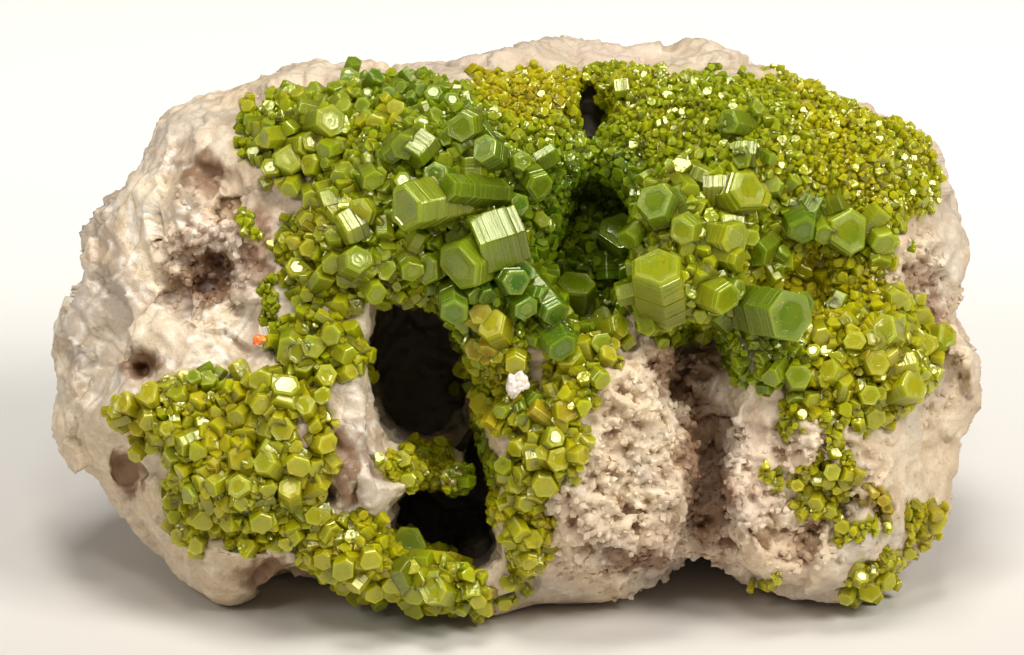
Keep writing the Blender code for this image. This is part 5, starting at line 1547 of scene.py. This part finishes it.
class SPECIMEN_OT_grains(Operator):
    """Make the single pale quartz grain and the orange grain"""

    bl_idname = "specimen.grains"
    bl_label = "Single grains"

    def execute(self, context):
        noise.seed_set(BREAK_SEED)
        pale = pale_finish(
            "pale_quartz_grain",
            (0.72, 0.62, 0.52),
            (0.92, 0.86, 0.80),
            {"IOR": 1.54, "Subsurface Weight": 0.3, "Subsurface Scale": 0.0008},
        )
        orange = pale_finish(
            "orange_crystal_grain",
            (0.85, 0.16, 0.01),
            (0.95, 0.36, 0.05),
            {"IOR": 1.8, "Subsurface Weight": 0.2, "Subsurface Scale": 0.0004},
        )
        for name, material in (("quartz_grain", pale), ("orange_grain", orange)):
            self.make_grain(name, material)
        return {"FINISHED"}

    def make_grain(self, name, material):
        """The grain's solid made finer and broken into small facets."""
        fine = gridded(f"{name}_draft", merged_node(name), GRAIN_GRID)
        points, normals = vertex_array(fine) / MM, vertex_array(fine, "normal")
        heights = []
        for point in points:
            place = Vector(point) * GRAIN_FACETS
            cell = noise.voronoi(place)[1][0]
            heights.append((place - cell).dot(noise.noise_vector(cell * 5.1)) * GRAIN_SLOPE)
        move_vertices(fine, points + normals * np.array(heights)[:, None])
        finish_piece(link(f"{name}_fine", fine), material, [name])


class SPECIMEN_OT_stage(Operator):
    """Make the pale floor, the soft lights and the camera"""

    bl_idname = "specimen.stage"
    bl_label = "Stage"

    def execute(self, context):
        settings = context.scene.specimen_stage
        self.lay_floor(settings)
        self.light(context.scene, settings)
        self.place_camera(context.scene, settings)
        context.scene.view_settings.view_transform = "Standard"
        return {"FINISHED"}

    def lay_floor(self, settings):
        bm = bmesh.new()
        bmesh.ops.create_grid(bm, x_segments=8, y_segments=8, size=FLOOR_REACH)
        floor = link("stage_floor", mesh_of(bm, "stage_floor"))
        floor.data.materials.append(floor_finish(settings))

    def light(self, scene, settings):
        """A pale sky all round and the softboxes."""
        world = bpy.data.worlds.new("pale_studio")
        world.use_nodes = True
        background = world.node_tree.nodes["Background"]
        background.inputs["Color"].default_value = (1.0, 0.985, 0.96, 1.0)
        background.inputs["Strength"].default_value = settings.sky
        scene.world = world
        for name, place, size in SOFTBOXES:
            lamp = bpy.data.lights.new(name, "AREA")
            lamp.shape = "RECTANGLE"
            lamp.size, lamp.size_y = size
            lamp.energy = settings.brightness * math.pi * size[0] * size[1]
            lamp.color = (1.0, 0.975, 0.93)
            self.aim(lamp, FACE_CENTRE * MM + Vector(place), Vector(place))

    def place_camera(self, scene, settings):
        """Looks squarely at the leaning face, as the photograph does."""
        camera = bpy.data.cameras.new("camera")
        camera.sensor_width = 36.0
        camera.lens = camera.sensor_width * settings.distance / settings.view_width
        camera.clip_start, camera.clip_end = 0.01, 20.0
        scene.camera = self.aim(camera, FACE_CENTRE * MM + OUT * settings.distance, OUT)

    def aim(self, data, place, back):
        """An object for a lamp or a camera, with its back turned the given way."""
        obj = link(data.name, data)
        obj.location = place
        obj.rotation_mode = "QUATERNION"
        obj.rotation_quaternion = back.to_track_quat("Z", "Y")
        return obj


class SPECIMEN_PT_panel(Panel):
    """Lists the operators, and the settings of each group"""

    bl_label = "Specimen"
    bl_idname = "SPECIMEN_PT_panel"
    bl_space_type = "VIEW_3D"
    bl_region_type = "UI"
    bl_category = "Specimen"

    def draw(self, context):
        scene = context.scene
        for operator in OPERATORS:
            self.layout.operator(operator.bl_idname)
        for settings in (
            scene.specimen_rock, scene.specimen_crystals, scene.specimen_druse, scene.specimen_stage
        ):
            box = self.layout.box()
            for key in settings.bl_rna.properties.keys():
                if key not in ("rna_type", "name"):
                    box.prop(settings, key)


SETTINGS = {
    "specimen_rock": RockSettings,
    "specimen_crystals": CrystalSettings,
    "specimen_druse": DruseSettings,
    "specimen_stage": StageSettings,
}
OPERATORS = (
    SPECIMEN_OT_rock,
    SPECIMEN_OT_sugar,
    SPECIMEN_OT_barrels,
    SPECIMEN_OT_druse,
    SPECIMEN_OT_grains,
    SPECIMEN_OT_stage,
)


def register():
    for settings in SETTINGS.values():
        bpy.utils.register_class(settings)
    for name, settings in SETTINGS.items():
        setattr(bpy.types.Scene, name, PointerProperty(type=settings))
    for cls in (*OPERATORS, SPECIMEN_PT_panel):
        bpy.utils.register_class(cls)


def unregister():
    for cls in (SPECIMEN_PT_panel, *reversed(OPERATORS)):
        bpy.utils.unregister_class(cls)
    for name in SETTINGS:
        delattr(bpy.types.Scene, name)
    for settings in reversed(SETTINGS.values()):
        bpy.utils.unregister_class(settings)


def main():
    register()
    for step in (
        bpy.ops.specimen.rock,
        bpy.ops.specimen.sugar,
        bpy.ops.specimen.barrels,
        bpy.ops.specimen.druse,
        bpy.ops.specimen.grains,
        bpy.ops.specimen.stage,
    ):
        step()


if __name__ == "__main__":
    main()
